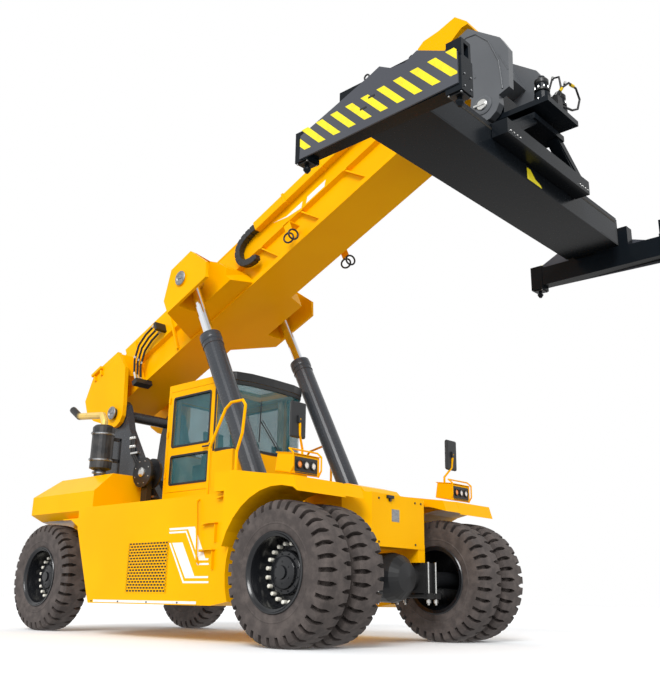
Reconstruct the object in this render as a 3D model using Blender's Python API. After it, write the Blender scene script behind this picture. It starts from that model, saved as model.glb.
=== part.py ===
"""Reach stacker: a container handler with a telescopic boom and a 20-40 ft top spreader.

Metres, +X forward, +Y to the driver's left, +Z up. The origin is on the ground, in the middle of the
machine's length. Inside the script, places are given from the point on the ground below the front
axle, which the empty "machine" puts where it belongs. The boom is modelled straight along its own
axis, from its pivot, and the empty "boom_pivot" raises it.
"""

import math

import bmesh
import bpy
from mathutils import Matrix, Vector

# ---- driving dimensions (from the ground below the front axle) ----
WHEELBASE = 6.20
GAP = 0.0003                  # between faces that rest on each other

TYRE_RADIUS = 0.88
TYRE_WIDTH = 0.52
RIM_SEAT_RADIUS = 0.44
TWIN_SPACING = 0.62
FRONT_OUTER_Y = 2.25
REAR_OUTER_Y = 1.86
KINGPIN_Y = 1.10

FRAME_HALF_WIDTH = 0.54
BODY_OUTER_Y = 2.10
BODY_INNER_Y = 1.32
BODY_BOTTOM_Z = 0.47
DECK_TOP_Z = 1.99
ARCH_RADIUS = 1.05
FENDER_OUTER_Y = 2.23
FENDER_INNER_Y = 0.95

REAR_END_X = -7.35
COUNTERWEIGHT_HALF_WIDTH = 1.86

PIVOT_X = -5.95
PIVOT_Z = 3.88
BOOM_ANGLE = math.radians(23.4)
BOOM_HALF_WIDTH = 0.464
BOOM_BOTTOM = 0.40            # below the boom, above the line through its pivot
BOOM_TOP = 1.42
BOOM_FRONT = 7.90
LIFT_Y = 1.07
LIFT_FOOT_X = -1.15
LIFT_FOOT_Z = 1.35
LIFT_HEAD_U = 3.05            # along the boom
LIFT_HEAD_V = 0.82            # across the boom
BARREL_LENGTH = 3.82
BARREL_RADIUS = 0.17
ROD_RADIUS = 0.09
EYE_RADIUS = 0.135
PIN_RADIUS = 0.08
HEAD_PIN_X = 2.20
HEAD_PIN_Z = 7.25

CAB_REAR_X = -4.20
CAB_FRONT_X = -2.45
CAB_HALF_WIDTH = 0.85
CAB_FLOOR_TOP_Z = 2.25
CAB_ROOF_Z = 4.00
CAB_WALL = 0.06
DOOR_FRONT_X = -2.957

CORNER_PITCH_X = 2.259        # container corner castings, across and along the container
CORNER_PITCH_Y = 5.853
TWISTLOCK_TIP_Z = 5.62
BEAM_BOTTOM_Z = 6.05
BEAM_TOP_Z = 6.50
BEAM_HALF_WIDTH = 0.45
BEAM_HALF_LENGTH = 2.62
SPREADER_HALF_WIDTH = CORNER_PITCH_X / 2 + 0.105

FRONT_END_X = HEAD_PIN_X + SPREADER_HALF_WIDTH
FRONT_AXLE_X = -(REAR_END_X + FRONT_END_X) / 2

ROUND = 24                    # sides of wheels and tyres
TUBE_SIDES = 10

# ---- finishes: colour, metallic, roughness ----
YELLOW = ((0.90, 0.52, 0.01), 0.0, 0.35)
SLATE = ((0.075, 0.085, 0.10), 0.2, 0.40)
BLACK = ((0.012, 0.012, 0.014), 0.0, 0.50)
TYRE = ((0.055, 0.048, 0.045), 0.0, 0.85)
CHROME = ((0.85, 0.86, 0.88), 1.0, 0.12)
GREY = ((0.22, 0.23, 0.24), 0.5, 0.45)
GLASS = ((0.10, 0.22, 0.25), 0.0, 0.05)
CUSHION = ((0.03, 0.03, 0.035), 0.0, 0.90)


# ---- making shapes ----
def clear_scene():
    for obj in list(bpy.data.objects):
        bpy.data.objects.remove(obj)


def material(finish_name, finish):
    found = bpy.data.materials.get(finish_name)
    if found:
        return found
    made = bpy.data.materials.new(finish_name)
    made.use_nodes = True
    shader = made.node_tree.nodes["Principled BSDF"]
    colour, metallic, roughness = finish
    shader.inputs["Base Color"].default_value = (*colour, 1)
    shader.inputs["Metallic"].default_value = metallic
    shader.inputs["Roughness"].default_value = roughness
    return made


def empty(name, parent=None, location=(0, 0, 0), tilt=0.0):
    """An empty on a joint's axis; tilt raises its +X side about the Y axis."""
    made = bpy.data.objects.new(name, None)
    bpy.context.collection.objects.link(made)
    made.parent = parent
    made.location = location
    made.rotation_euler = (0, -tilt, 0)
    return made


def add(name, mesh_data, parent, finish, smooth=False):
    bmesh.ops.recalc_face_normals(mesh_data, faces=mesh_data.faces)
    mesh = bpy.data.meshes.new(name)
    mesh_data.to_mesh(mesh)
    mesh_data.free()
    made = bpy.data.objects.new(name, mesh)
    bpy.context.collection.objects.link(made)
    made.parent = parent
    made.data.materials.append(material(name + "_finish", finish))
    if smooth:
        mesh.shade_smooth()
        mesh.set_sharp_from_angle(angle=math.radians(35))
    return made


def combine(target, shapes, operation):
    """Joins the shapes to the target, or cuts them from it; the shapes stay as guides."""
    for number, mesh_data in enumerate(shapes):
        guide_name = f"{target.name}_{operation.lower()}_{number}"
        guide = add(guide_name, mesh_data, target.parent, BLACK)
        guide.hide_render = True
        guide.display_type = "WIRE"
        step = target.modifiers.new(guide_name, "BOOLEAN")
        step.operation = operation
        step.object = guide
        step.solver = "EXACT"
    return target


def join(target, *shapes):
    return combine(target, shapes, "UNION")


def cut(target, *shapes):
    return combine(target, shapes, "DIFFERENCE")


def prism(outline, low, high, along="Y"):
    """A flat outline pushed along an axis: (x, z) along Y, (x, y) along Z, (y, z) along X."""
    def place(point, level):
        a, b = point
        return {"Y": (a, level, b), "Z": (a, b, level), "X": (level, a, b)}[along]

    shape = bmesh.new()
    first = [shape.verts.new(place(point, low)) for point in outline]
    last = [shape.verts.new(place(point, high)) for point in outline]
    shape.faces.new(first)
    shape.faces.new(last)
    count = len(outline)
    for i in range(count):
        j = (i + 1) % count
        shape.faces.new((first[i], first[j], last[j], last[i]))
    return shape


def box(x, y, z):
    """A box from its (low, high) along each axis."""
    return prism([(x[0], y[0]), (x[1], y[0]), (x[1], y[1]), (x[0], y[1])], z[0], z[1], "Z")


def lofted(outlines):
    """A solid through level outlines, each a (height, points) pair with the same number of points."""
    shape = bmesh.new()
    rings = [[shape.verts.new((x, y, z)) for x, y in points] for z, points in outlines]
    count = len(rings[0])
    for lower, upper in zip(rings, rings[1:]):
        for i in range(count):
            j = (i + 1) % count
            shape.faces.new((lower[i], lower[j], upper[j], upper[i]))
    shape.faces.new(rings[0])
    shape.faces.new(rings[-1])
    return shape


def turned(profile, centre, axis="Y", sides=ROUND, start=0):
    """A profile of (radius, place along the axis) points turned round an axis through centre."""
    shape = bmesh.new()
    turn = {"X": lambda r, s, a: (s, r * math.cos(a), r * math.sin(a)),
            "Y": lambda r, s, a: (r * math.cos(a), s, r * math.sin(a)),
            "Z": lambda r, s, a: (r * math.cos(a), r * math.sin(a), s)}[axis]
    rings = []
    for radius, place in profile:
        if radius == 0:
            rings.append([shape.verts.new(Vector(centre) + Vector(turn(0, place, 0)))])
        else:
            angles = [2 * math.pi * (k + start) / sides for k in range(sides)]
            rings.append([shape.verts.new(Vector(centre) + Vector(turn(radius, place, a))) for a in angles])
    closed = profile[0][0] > 0 and profile[-1][0] > 0
    pairs = list(zip(rings, rings[1:]))
    if closed:
        pairs.append((rings[-1], rings[0]))
    for first, second in pairs:
        for k in range(sides):
            n = (k + 1) % sides
            corners = [first[k % len(first)], first[n % len(first)],
                       second[n % len(second)], second[k % len(second)]]
            unique = list(dict.fromkeys(corners))
            if len(unique) > 2:
                shape.faces.new(unique)
    return shape


def rod(radius, low, high, centre, axis="Y", sides=24):
    return turned([(0, low), (radius, low), (radius, high), (0, high)], centre, axis, sides)


def swept(points, radius, sides=TUBE_SIDES):
    """A round bar bent along the points, with closed ends."""
    shape = bmesh.new()
    route = [Vector(point) for point in points]
    side = None
    rings = []
    for i, point in enumerate(route):
        before = route[max(i - 1, 0)]
        after = route[min(i + 1, len(route) - 1)]
        inward = (point - before).normalized() if i else (after - point).normalized()
        outward = (after - point).normalized() if i < len(route) - 1 else inward
        tangent = (inward + outward).normalized()
        if side is None:
            side = tangent.orthogonal().normalized()
        side = (side - side.dot(inward) * inward).normalized()
        other = inward.cross(side)
        stretch = 1 / max(tangent.dot(inward), 0.3)
        bend = outward - inward
        bend = bend.normalized() if bend.length > 1e-6 else Vector((0, 0, 0))
        ring = []
        for k in range(sides):
            angle = 2 * math.pi * k / sides
            offset = radius * (math.cos(angle) * side + math.sin(angle) * other)
            offset -= offset.dot(tangent) * tangent
            offset += (stretch - 1) * offset.dot(bend) * bend
            ring.append(shape.verts.new(point + offset))
        rings.append(ring)
        side = (side - side.dot(outward) * outward).normalized()
    for first, second in zip(rings, rings[1:]):
        for k in range(sides):
            n = (k + 1) % sides
            shape.faces.new((first[k], first[n], second[n], second[k]))
    shape.faces.new(rings[0])
    shape.faces.new(rings[-1])
    return shape


def arc(centre, radius, start, end, steps):
    """Points of an arc from start to end, in degrees."""
    angles = [math.radians(start + (end - start) * k / steps) for k in range(steps + 1)]
    return [(centre[0] + radius * math.cos(a), centre[1] + radius * math.sin(a)) for a in angles]


def mirrored(side, low, high):
    """The (low, high) range on one side of the machine: side is -1 on the right, +1 on the left."""
    return (low, high) if side > 0 else (-high, -low)


# ---- wheels ----
def tyre(name, parent, side, outer_y):
    """One tyre: crown, rounded shoulders, sidewalls down to the rim seat."""
    half = TYRE_WIDTH / 2
    middle = side * (outer_y - half)
    profile = [(RIM_SEAT_RADIUS + GAP, -half + 0.05), (0.52, -half + 0.005), (0.665, -half),
               (0.80, -half + 0.02), (TYRE_RADIUS - 0.015, -half + 0.05), (TYRE_RADIUS, -half + 0.11),
               (TYRE_RADIUS, half - 0.11), (TYRE_RADIUS - 0.015, half - 0.05), (0.80, half - 0.02),
               (0.665, half),
               (0.52, half - 0.005), (RIM_SEAT_RADIUS + GAP, half - 0.05)]
    # turned by half a side, and a little larger, so that a flat stands on the ground
    profile = [(radius / math.cos(math.pi / ROUND) if radius > 0.6 else radius, along)
               for radius, along in profile]
    wheel = turned(profile, (0, middle - parent.location.y, 0), start=0.5)
    return add(name, wheel, parent, TYRE, smooth=True)


def rim(name, parent, side, outer_y, width, disc_y, bore_radius, bore_end_y):
    """A drum with a dished disc and a hub, bored from inside for the spindle."""
    seat = RIM_SEAT_RADIUS
    outer = outer_y - 0.045
    inner = outer_y - width + 0.045
    profile = [(seat, inner), (seat, outer), (seat - 0.03, outer), (seat - 0.05, disc_y + 0.02),
               (0.26, disc_y), (0.22, disc_y + 0.07), (0, disc_y + 0.09), (0, bore_end_y),
               (bore_radius, bore_end_y), (bore_radius, disc_y - 0.16), (0.26, disc_y - 0.16),
               (0.28, disc_y - 0.05), (seat - 0.05, disc_y - 0.03), (seat - 0.03, inner)]
    # the hub's bottom starts on the axis, so the profile is turned as an open line from there
    start = profile.index((0, bore_end_y))
    line = profile[start:] + profile[:start]
    line = [(radius, side * along - parent.location.y) for radius, along in line]
    return add(name, turned(line, (0, 0, 0), start=0.5), parent, BLACK, smooth=True)


def front_wheels(machine):
    for side, word in ((-1, "right"), (1, "left")):
        hub = empty(f"front_wheel_{word}", machine, (0, side * (FRONT_OUTER_Y - 0.57), TYRE_RADIUS))
        tyre(f"front_tyre_{word}_outer", hub, side, FRONT_OUTER_Y)
        tyre(f"front_tyre_{word}_inner", hub, side, FRONT_OUTER_Y - TWIN_SPACING)
        rim(f"front_rim_{word}", hub, side, FRONT_OUTER_Y, TWIN_SPACING + TYRE_WIDTH,
            FRONT_OUTER_Y - 0.32, 0.126, FRONT_OUTER_Y - 0.40)


def rear_wheels(machine):
    for side, word in ((-1, "right"), (1, "left")):
        knuckle_pivot = empty(f"steer_{word}", machine, (-WHEELBASE, side * KINGPIN_Y, TYRE_RADIUS))
        knuckle(word, knuckle_pivot, side)
        hub = empty(f"rear_wheel_{word}", machine, (-WHEELBASE, side * (REAR_OUTER_Y - 0.26), TYRE_RADIUS))
        tyre(f"rear_tyre_{word}", hub, side, REAR_OUTER_Y)
        rim(f"rear_rim_{word}", hub, side, REAR_OUTER_Y, TYRE_WIDTH, REAR_OUTER_Y - 0.24, 0.106,
            REAR_OUTER_Y - 0.30)


def knuckle(word, pivot, side):
    """The steering knuckle: a block on the kingpin with the wheel's spindle."""
    body = add(f"knuckle_{word}", box((-0.13, 0.13), (-0.10, 0.10), (-0.169, 0.169)), pivot, BLACK)
    spindle_end = REAR_OUTER_Y - 0.31 - KINGPIN_Y
    low, high = mirrored(side, 0.05, spindle_end)
    join(body, rod(0.10, low, high, (0, 0, 0)))
    cut(body, rod(0.051, -0.5, 0.5, (0, 0, 0), "Z"))


# ---- axles ----
def front_axle(machine):
    """The drive axle: housing, round centre casing and the spindles the wheels run on."""
    z = TYRE_RADIUS
    spindle_end = FRONT_OUTER_Y - 0.41
    body = add("front_axle", turned([(0, -spindle_end), (0.12, -spindle_end), (0.12, -1.02), (0.17, -1.00),
                                     (0.17, 1.00), (0.12, 1.02), (0.12, spindle_end), (0, spindle_end)],
                                    (0, 0, z), sides=22), machine, BLACK, smooth=True)
    casing = [(0, -0.30), (0.22, -0.28), (0.33, -0.16), (0.34, 0.10), (0.30, 0.24), (0.20, 0.34), (0, 0.38)]
    join(body, turned(casing, (0, 0, z), "X", 26))
    for side in (-1, 1):
        y = mirrored(side, 0.52, 0.80)
        join(body, box((-0.22, 0.24), y, (z - 0.20, 1.10 - GAP)))


def rear_axle(machine):
    """The steer axle: a box beam with a fork and a kingpin at each end."""
    z = TYRE_RADIUS
    x = (-WHEELBASE - 0.16, -WHEELBASE + 0.16)
    body = add("rear_axle", box(x, (-0.92, 0.92), (0.64, 1.05 - GAP)), machine, BLACK)
    for side in (-1, 1):
        ear = mirrored(side, 0.90, 1.24)
        for low, high in ((z - 0.29, z - 0.175), (z + 0.175, z + 0.29)):
            join(body, box((-WHEELBASE - 0.12, -WHEELBASE + 0.12), ear, (low, high)))
        join(body, rod(0.05, -0.27, 0.27, (-WHEELBASE, side * KINGPIN_Y, z), "Z"))


# ---- chassis ----
def frame_rails(machine):
    """Two deep rails with cross members, and the seat of the steer axle."""
    z = (1.05, 1.72)
    body = add("frame_rails", box((-6.95, -0.80), mirrored(1, 0.40, FRAME_HALF_WIDTH), z), machine, YELLOW)
    join(body, box((-6.95, -0.80), mirrored(-1, 0.40, FRAME_HALF_WIDTH), z))
    for x in (-6.85, -6.2, -4.9, -2.55, -1.0):
        join(body, box((x - 0.09, x + 0.09), (-0.45, 0.45), (1.15, 1.55)))


def front_housing(machine):
    """The box over the drive axle, with the feet of the lift cylinders."""
    core = [(-0.75, -0.94), (-0.05, -0.94), (0.20, -0.60), (0.20, 0.60), (-0.05, 0.94), (-0.75, 0.94)]
    body = add("front_housing", prism(core, 1.28, 2.00, "Z"), machine, YELLOW)
    crown = [(-0.75, 1.95), (0.02, 1.95), (-0.16, 2.12), (-0.40, 2.18), (-0.75, 2.18)]
    join(body, prism(crown, -0.42, 0.42))
    for side in (-1, 1):
        leg = [(-0.70, side * 0.46), (0.19, side * 0.46), (0.19, side * 0.62), (-0.05, side * 0.935),
               (-0.70, side * 0.935)]
        join(body, prism(leg, 1.10, 1.35, "Z"))
        join(body, box((-1.55, -0.95), mirrored(side, 0.56, 1.312), (0.93, 1.13)))
        join(body, box((-1.10, -0.65), mirrored(side, 0.58, 0.92), (0.95, 1.29)))
        cheek = [(-1.45, 1.05), (-0.95, 1.05), (-0.95, 1.32)]
        cheek += arc((LIFT_FOOT_X, LIFT_FOOT_Z), 0.20, 0, 180, 6)
        cheek += [(-1.45, 1.32)]
        join(body, prism(cheek, *mirrored(side, 0.80, 0.87)))
        join(body, prism(cheek, *mirrored(side, 1.262, 1.31)))
        join(body, rod(PIN_RADIUS, *mirrored(side, 0.83, 1.29), (LIFT_FOOT_X, 0, LIFT_FOOT_Z)))


def side_body(machine, side, word):
    """The body between the wheels, with the arch of the front wheel and a guard over the rear one."""
    arch_front = arc((0, TYRE_RADIUS), ARCH_RADIUS, 162, 200, 4)
    outline = [(-4.20, BODY_BOTTOM_Z), (-4.26, 0.60), (-4.52, 1.20), (-4.70, 1.62), (-4.70, 1.93)]
    outline += [(-1.00, 1.93)] + arch_front + [(-1.31, BODY_BOTTOM_Z)]
    body = add(f"side_body_{word}", prism(outline, *mirrored(side, BODY_INNER_Y, BODY_OUTER_Y)), machine,
               YELLOW)
    guard = [(-4.60, 0.60), (-4.75, 1.20), (-4.98, 1.60), (-5.35, 1.79), (-5.60, 1.795), (-5.60, 1.81),
             (-4.60, 1.81)]
    join(body, prism(guard, *mirrored(side, BODY_INNER_Y, 1.84)))


def fender(machine, side, word):
    """The fender over the front wheels: a deck with a lip, closed down to the arch behind."""
    under = arc((0, TYRE_RADIUS), ARCH_RADIUS, 74, 161.5, 8)
    outline = [(0.36, 1.84), (0.30, 2.03), (-0.35, 2.12), (-0.80, 2.19), (-1.20, 2.19), (-1.20, 1.9303),
               (-0.9997, 1.9303)]
    outline += list(reversed(under))
    body = add(f"fender_{word}", prism(outline, *mirrored(side, BODY_INNER_Y, FENDER_OUTER_Y)), machine,
               YELLOW)
    inner = [(0.355, 1.86), (0.295, 2.02), (-0.35, 2.11), (-0.70, 2.16), (-0.70, 2.02), (-0.30, 1.96),
             (0.05, 1.94)]
    join(body, prism(inner, *mirrored(side, FENDER_INNER_Y, BODY_INNER_Y + 0.05)))


def counterweight(machine):
    """The cast weight behind, chamfered all round and notched for the boom tower."""
    def outline(inset):
        rear = REAR_END_X + inset
        front = -4.7003
        half = COUNTERWEIGHT_HALF_WIDTH - inset
        return [(rear, -half + 0.62), (rear + 0.70, -half), (front, -half), (front, half),
                (rear + 0.70, half), (rear, half - 0.62)]

    body = add("counterweight", lofted([(1.815, outline(0.14)), (1.93, outline(0)), (2.24, outline(0)),
                                        (2.56, outline(0.34))]), machine, YELLOW)
    join(body, box((REAR_END_X + 0.05, -7.02), (-0.60, 0.60), (0.95, 1.90)))
    cut(body, box((-6.52, -4.0), (-0.73, 0.73), (1.5, 3.0)))


def boom_tower(machine):
    """Two tall plates on a base, tied by a cross box, that carry the boom's pivot."""
    outline = [(-6.45, 1.7203), (-6.45, 2.6), (-6.30, 3.70)]
    outline += arc((PIVOT_X, PIVOT_Z), 0.27, 165, 15, 6)
    outline += [(-5.55, 3.55), (-5.10, 2.90), (-4.42, 2.15), (-4.35, 1.7203)]
    body = add("boom_tower", prism(outline, 0.56, 0.70), machine, SLATE)
    join(body, prism(outline, -0.70, -0.56))
    join(body, box((-6.40, -4.40), (-0.65, 0.65), (1.7203, 1.90)))
    join(body, box((-6.25, -5.95), (-0.60, 0.60), (1.85, 2.75)))
    join(body, rod(0.10, -0.86, 0.86, (PIVOT_X, 0, PIVOT_Z)))


def engine(machine):
    add("engine", box((-4.20, -2.95), (-0.36, 0.36), (1.02, 1.90)), machine, GREY)


def deck(machine):
    """The floor between the cab, the side bodies and the tower."""
    body = add("deck", box((-4.30, -1.95), (-BODY_INNER_Y + GAP, BODY_INNER_Y - GAP), (1.93, DECK_TOP_Z)),
               machine, YELLOW)
    for side in (-1, 1):
        join(body, box((-4.70, -4.2), mirrored(side, 0.75, BODY_INNER_Y - GAP), (1.931, DECK_TOP_Z - 0.001)))


def muffler(machine):
    """The exhaust silencer beside the tower, with its bent tail pipe."""
    x, y = -5.28, -1.42
    body = add("muffler", turned([(0, 2.5603), (0.10, 2.5603), (0.10, 2.66), (0.19, 2.70), (0.19, 3.42),
                                  (0.15, 3.46), (0, 3.46)], (x, y, 0), "Z", 20), machine, GREY, smooth=True)
    join(body, swept([(x, y, 3.40), (x, y, 3.55), (x - 0.08, y, 3.66), (x - 0.85, y, 3.74),
                      (x - 1.10, y, 3.90)], 0.065))


def hose_reel(machine):
    """The reel that winds the hoses of the boom, on its stand."""
    x, z = -4.43, 2.60
    body = add("hose_reel", turned([(0, -1.14), (0.26, -1.14), (0.26, -1.10), (0.15, -1.09), (0.15, -0.95),
                                    (0.26, -0.94), (0.26, -0.90), (0, -0.90)], (x, 0, z), "Y", 20),
               machine, BLACK, smooth=True)
    join(body, box((x - 0.08, x + 0.08), (-1.07, -0.97), (DECK_TOP_Z + GAP, z - 0.05)))


def handrails(machine):
    """The rail beside the driver's way up on the right, and the one behind it on the left."""
    foot = 1.9303
    right = [(-1.68, foot), (-1.68, 2.62), (-1.38, 3.14), (-1.26, 3.22), (-1.02, 3.22), (-0.96, 3.14),
             (-1.00, 2.75), (-1.10, 2.50), (-1.10, 2.1903)]
    left = [(-3.52, foot), (-3.52, 3.18), (-3.44, 3.27), (-2.99, 3.36), (-2.90, 3.28), (-2.88, 2.90),
            (-2.88, foot)]
    for side, word, line in ((-1, "right", right), (1, "left", left)):
        rail = swept([(x, side * 1.95, z) for x, z in line], 0.022)
        add(f"handrail_{word}", rail, machine, YELLOW, smooth=True)


def mirror_post(machine, side, word):
    """A lamp box on the fender, with the mirror on a bent stalk above it."""
    y = side * 1.78
    base = [(-0.24, 2.14), (0.08, 2.085), (0.08, 2.36), (-0.20, 2.40)]
    body = add(f"mirror_post_{word}", prism(base, y - 0.27, y + 0.27), machine, YELLOW)
    join(body, swept([(-0.16, y - side * 0.14, 2.30), (-0.16, y - side * 0.14, 2.48),
                      (-0.11, y - side * 0.04, 2.62), (-0.09, y, 2.86)], 0.022))
    join(body, box((-0.14, -0.06), (y - 0.15, y + 0.15), (2.58, 3.10)))


# ---- cab ----
def cab(machine):
    """The cab's shell: base, walls and roof with their windows cut, and the fixed glass."""
    half = CAB_HALF_WIDTH
    rear, front = CAB_REAR_X, CAB_FRONT_X
    wall_bottom = CAB_FLOOR_TOP_Z + GAP
    wall_top = CAB_ROOF_Z - GAP
    base = add("cab_base", box((rear, front), (-half, half), (DECK_TOP_Z + GAP, CAB_FLOOR_TOP_Z)), machine,
               YELLOW)
    join(base, box((front - CAB_WALL, front), (-half, half), (2.20, 2.84)))

    rear_wall = add("cab_rear_wall", box((rear, rear + CAB_WALL), (-half, half), (wall_bottom, wall_top)),
                    machine, YELLOW)
    cut(rear_wall, box((rear - 1, rear + 1), (-0.62, 0.62), (2.95, 3.85)))
    rear_pane = box((rear + 0.02, rear + 0.04), (-0.62 + GAP, 0.62 - GAP), (2.95 + GAP, 3.85 - GAP))
    add("cab_rear_glass", rear_pane, machine, GLASS)

    side_x = (rear + CAB_WALL + GAP, -2.95)
    left_y = mirrored(1, half - CAB_WALL, half)
    left = add("cab_left_wall", box(side_x, left_y, (wall_bottom, wall_top)), machine, YELLOW)
    cut(left, box((-4.02, -3.07), (0.5, 1.0), (2.55, 3.88)))
    join(left, box((-2.97, front - CAB_WALL - GAP), left_y, (wall_bottom, 2.84)))
    left_pane = box((-4.02 + GAP, -3.07 - GAP), (half - 0.04, half - 0.02), (2.55 + GAP, 3.88 - GAP))
    add("cab_left_glass", left_pane, machine, GLASS)

    right_y = mirrored(-1, half - CAB_WALL, half)
    right = add("cab_right_wall", box((-2.95, -2.89), right_y, (wall_bottom, wall_top)), machine, YELLOW)
    join(right, box((-2.92, front - CAB_WALL - GAP), right_y, (wall_bottom, 2.84)))

    nose = [(-2.66, half), (-2.545, 0.755), (-2.468, 0.49)]
    plan = [(rear, -half)] + [(x, -y) for x, y in nose] + [(front, 0)] + nose[::-1] + [(rear, half)]
    roof = add("cab_roof", prism(plan, CAB_ROOF_Z, CAB_ROOF_Z + 0.12, "Z"), machine, YELLOW)
    cut(roof, box((-3.45, -2.65), (-0.62, 0.62), (3.9, 4.3)))
    roof_pane = box((-3.45 + GAP, -2.65 - GAP), (-0.62 + GAP, 0.62 - GAP), (4.08, 4.10))
    add("cab_roof_glass", roof_pane, machine, GLASS)
    windscreen(machine, 2.84 + GAP, wall_top)


def windscreen(machine, low, high):
    """The wrap-round windscreen, from door post to left wall, bowed forward in the middle."""
    outer = [(-2.9497 + 0.06, -0.845), (-2.66, -0.835), (-2.55, -0.74), (-2.475, -0.48), (-2.452, 0.0),
             (-2.475, 0.48), (-2.55, 0.74), (-2.66, 0.835), (-2.9497, 0.845)]
    inner = [(-2.9497, 0.825), (-2.667, 0.815), (-2.566, 0.728), (-2.495, 0.474), (-2.472, 0.0),
             (-2.495, -0.474), (-2.566, -0.728), (-2.667, -0.815), (-2.9497 + 0.06, -0.825)]
    add("windscreen", prism(outer + inner, low, high, "Z"), machine, GLASS)


def cab_door(machine):
    """The driver's door on the right side, hinged at its rear edge, with two panes."""
    hinge = empty("door_hinge", machine, (CAB_REAR_X + CAB_WALL + 0.006, -CAB_HALF_WIDTH, 0))
    width = DOOR_FRONT_X - hinge.location.x
    low, high = CAB_FLOOR_TOP_Z + 0.006, CAB_ROOF_Z - 0.006
    door = add("cab_door", box((0, width), (0, 0.05), (low, high)), hinge, YELLOW)
    panes = {"upper": (3.02, 3.88), "lower": (2.38, 2.86)}
    cut(door, *[box((0.10, width - 0.10), (-0.1, 0.1), pane) for pane in panes.values()])
    for word, (bottom, top) in panes.items():
        add(f"door_glass_{word}", box((0.10 + GAP, width - 0.10 - GAP), (0.018, 0.034),
                                      (bottom + GAP, top - GAP)), hinge, GLASS)


def cab_inside(machine):
    """The driver's seat, and the steering wheel on its column."""
    floor = CAB_FLOOR_TOP_Z + GAP
    seat = add("seat", box((-3.86, -3.36), (-0.26, 0.26), (2.62, 2.78)), machine, CUSHION)
    join(seat, box((-3.75, -3.45), (-0.17, 0.17), (floor, 2.65)))
    back = [(-3.98, 2.72), (-3.84, 2.70), (-3.92, 3.42), (-4.04, 3.42)]
    join(seat, prism(back, -0.24, 0.24))
    column = add("steering_column", box((-3.02, -2.86), (-0.09, 0.09), (floor, 2.86)), machine, BLACK)
    join(column, swept([(-2.94, 0, 2.80), (-3.06, 0, 3.00)], 0.04))
    wheel = turned([(0.19, -0.015), (0.22, -0.015), (0.22, 0.015), (0.19, 0.015)], (0, 0, 0), "Z", 20)
    hub = box((-0.20, 0.20), (-0.03, 0.03), (-0.01, 0.01))
    tilted = Matrix.Translation((-3.06, 0, 3.00)) @ Matrix.Rotation(math.radians(-31), 4, "Y")
    for shape in (wheel, hub):
        bmesh.ops.transform(shape, verts=shape.verts, matrix=tilted)
        join(column, shape)


# ---- boom ----
def boom_outer(pivot):
    """The outer boom: a hollow box with side channels, pivot ears and brackets for the lift cylinders."""
    w = BOOM_HALF_WIDTH
    b, t = BOOM_BOTTOM, BOOM_TOP
    section = [(-w, b), (w, b), (w, b + 0.09), (0.38, b + 0.12), (0.38, b + 0.50), (w, b + 0.53), (w, t),
               (-w, t), (-w, b + 0.53), (-0.38, b + 0.50), (-0.38, b + 0.12), (-w, b + 0.09)]
    body = add("boom_outer", prism(section, 0.25, BOOM_FRONT, "X"), pivot, YELLOW)
    rear = [(-0.45, b), (0.30, b), (0.30, t - 0.08), (-0.20, t - 0.20), (-0.45, 1.0)]
    join(body, prism(rear, -w + 0.01, w - 0.01))
    ear = [(0.30, 0.02)] + arc((0, 0), 0.27, -10, -150, 5)
    ear += [(-0.66, 0.22), (-0.83, 0.45), (-0.83, 0.78), (-0.38, 1.18), (0.42, 1.16), (0.55, 0.72)]
    for side in (-1, 1):
        plate = prism(ear, *mirrored(side, 0.72, 0.80))
        join(body, plate)
        join(body, box((-0.40, 0.45), mirrored(side, 0.40, 0.74), (0.62, 1.10)))
        join(body, lift_bracket(side))
    for side in (-1, 1):
        cut(body, box((2.76, 4.6), mirrored(side, 0.88, 1.262), (-0.5, 1.115)))
        cut(body, rod(0.101, *mirrored(side, 0.5, 1.0), (0, 0, 0)))
    cut(body, box((-1, BOOM_FRONT + 1), (-0.335, 0.335), (b + 0.04, t - 0.04)))
    for side in (-1, 1):
        join(body, rod(0.13, *mirrored(side, 1.31, 1.345), (LIFT_HEAD_U, 0, LIFT_HEAD_V)))
    return body


def lift_bracket(side):
    """The bracket that reaches out from the boom's side to the rod's pin."""
    root = [(2.05, 0.43), (2.00, 1.10), (2.50, 1.37), (3.07, 1.37), (3.74, 0.72), (3.86, 0.43)]
    face = [(2.52, 0.44), (2.50, 0.72), (2.86, 1.16), (3.42, 1.16), (3.70, 0.70), (3.60, 0.44)]
    bracket = lofted([(0.42, root), (1.32, face)])
    # the loft is made lying down, then turned so that its height runs out from the boom's side
    for corner in bracket.verts:
        along, up, out = corner.co
        corner.co = (along, side * out, up)
    return bracket


def boom_inner(slide):
    """The inner boom, with the yellow bracket on its tip."""
    b, t = BOOM_BOTTOM + 0.05, BOOM_TOP - 0.05
    body = add("boom_inner", box((0.35, 8.72), (-0.325, 0.325), (b, t)), slide, YELLOW)
    horn = [(8.05, 1.30), (8.60, 1.30), (8.79, 1.36), (9.08, 1.44), (9.19, 1.41), (9.20, 1.46), (9.08, 1.71),
            (8.76, 1.74), (8.48, 1.81), (8.34, 1.77), (8.36, 1.66), (8.51, 1.50), (8.05, 1.44)]
    join(body, prism(horn, -0.46, -0.12))
    cut(body, box((0, 8.68), (-0.295, 0.295), (b + 0.03, t - 0.03)))


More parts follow.
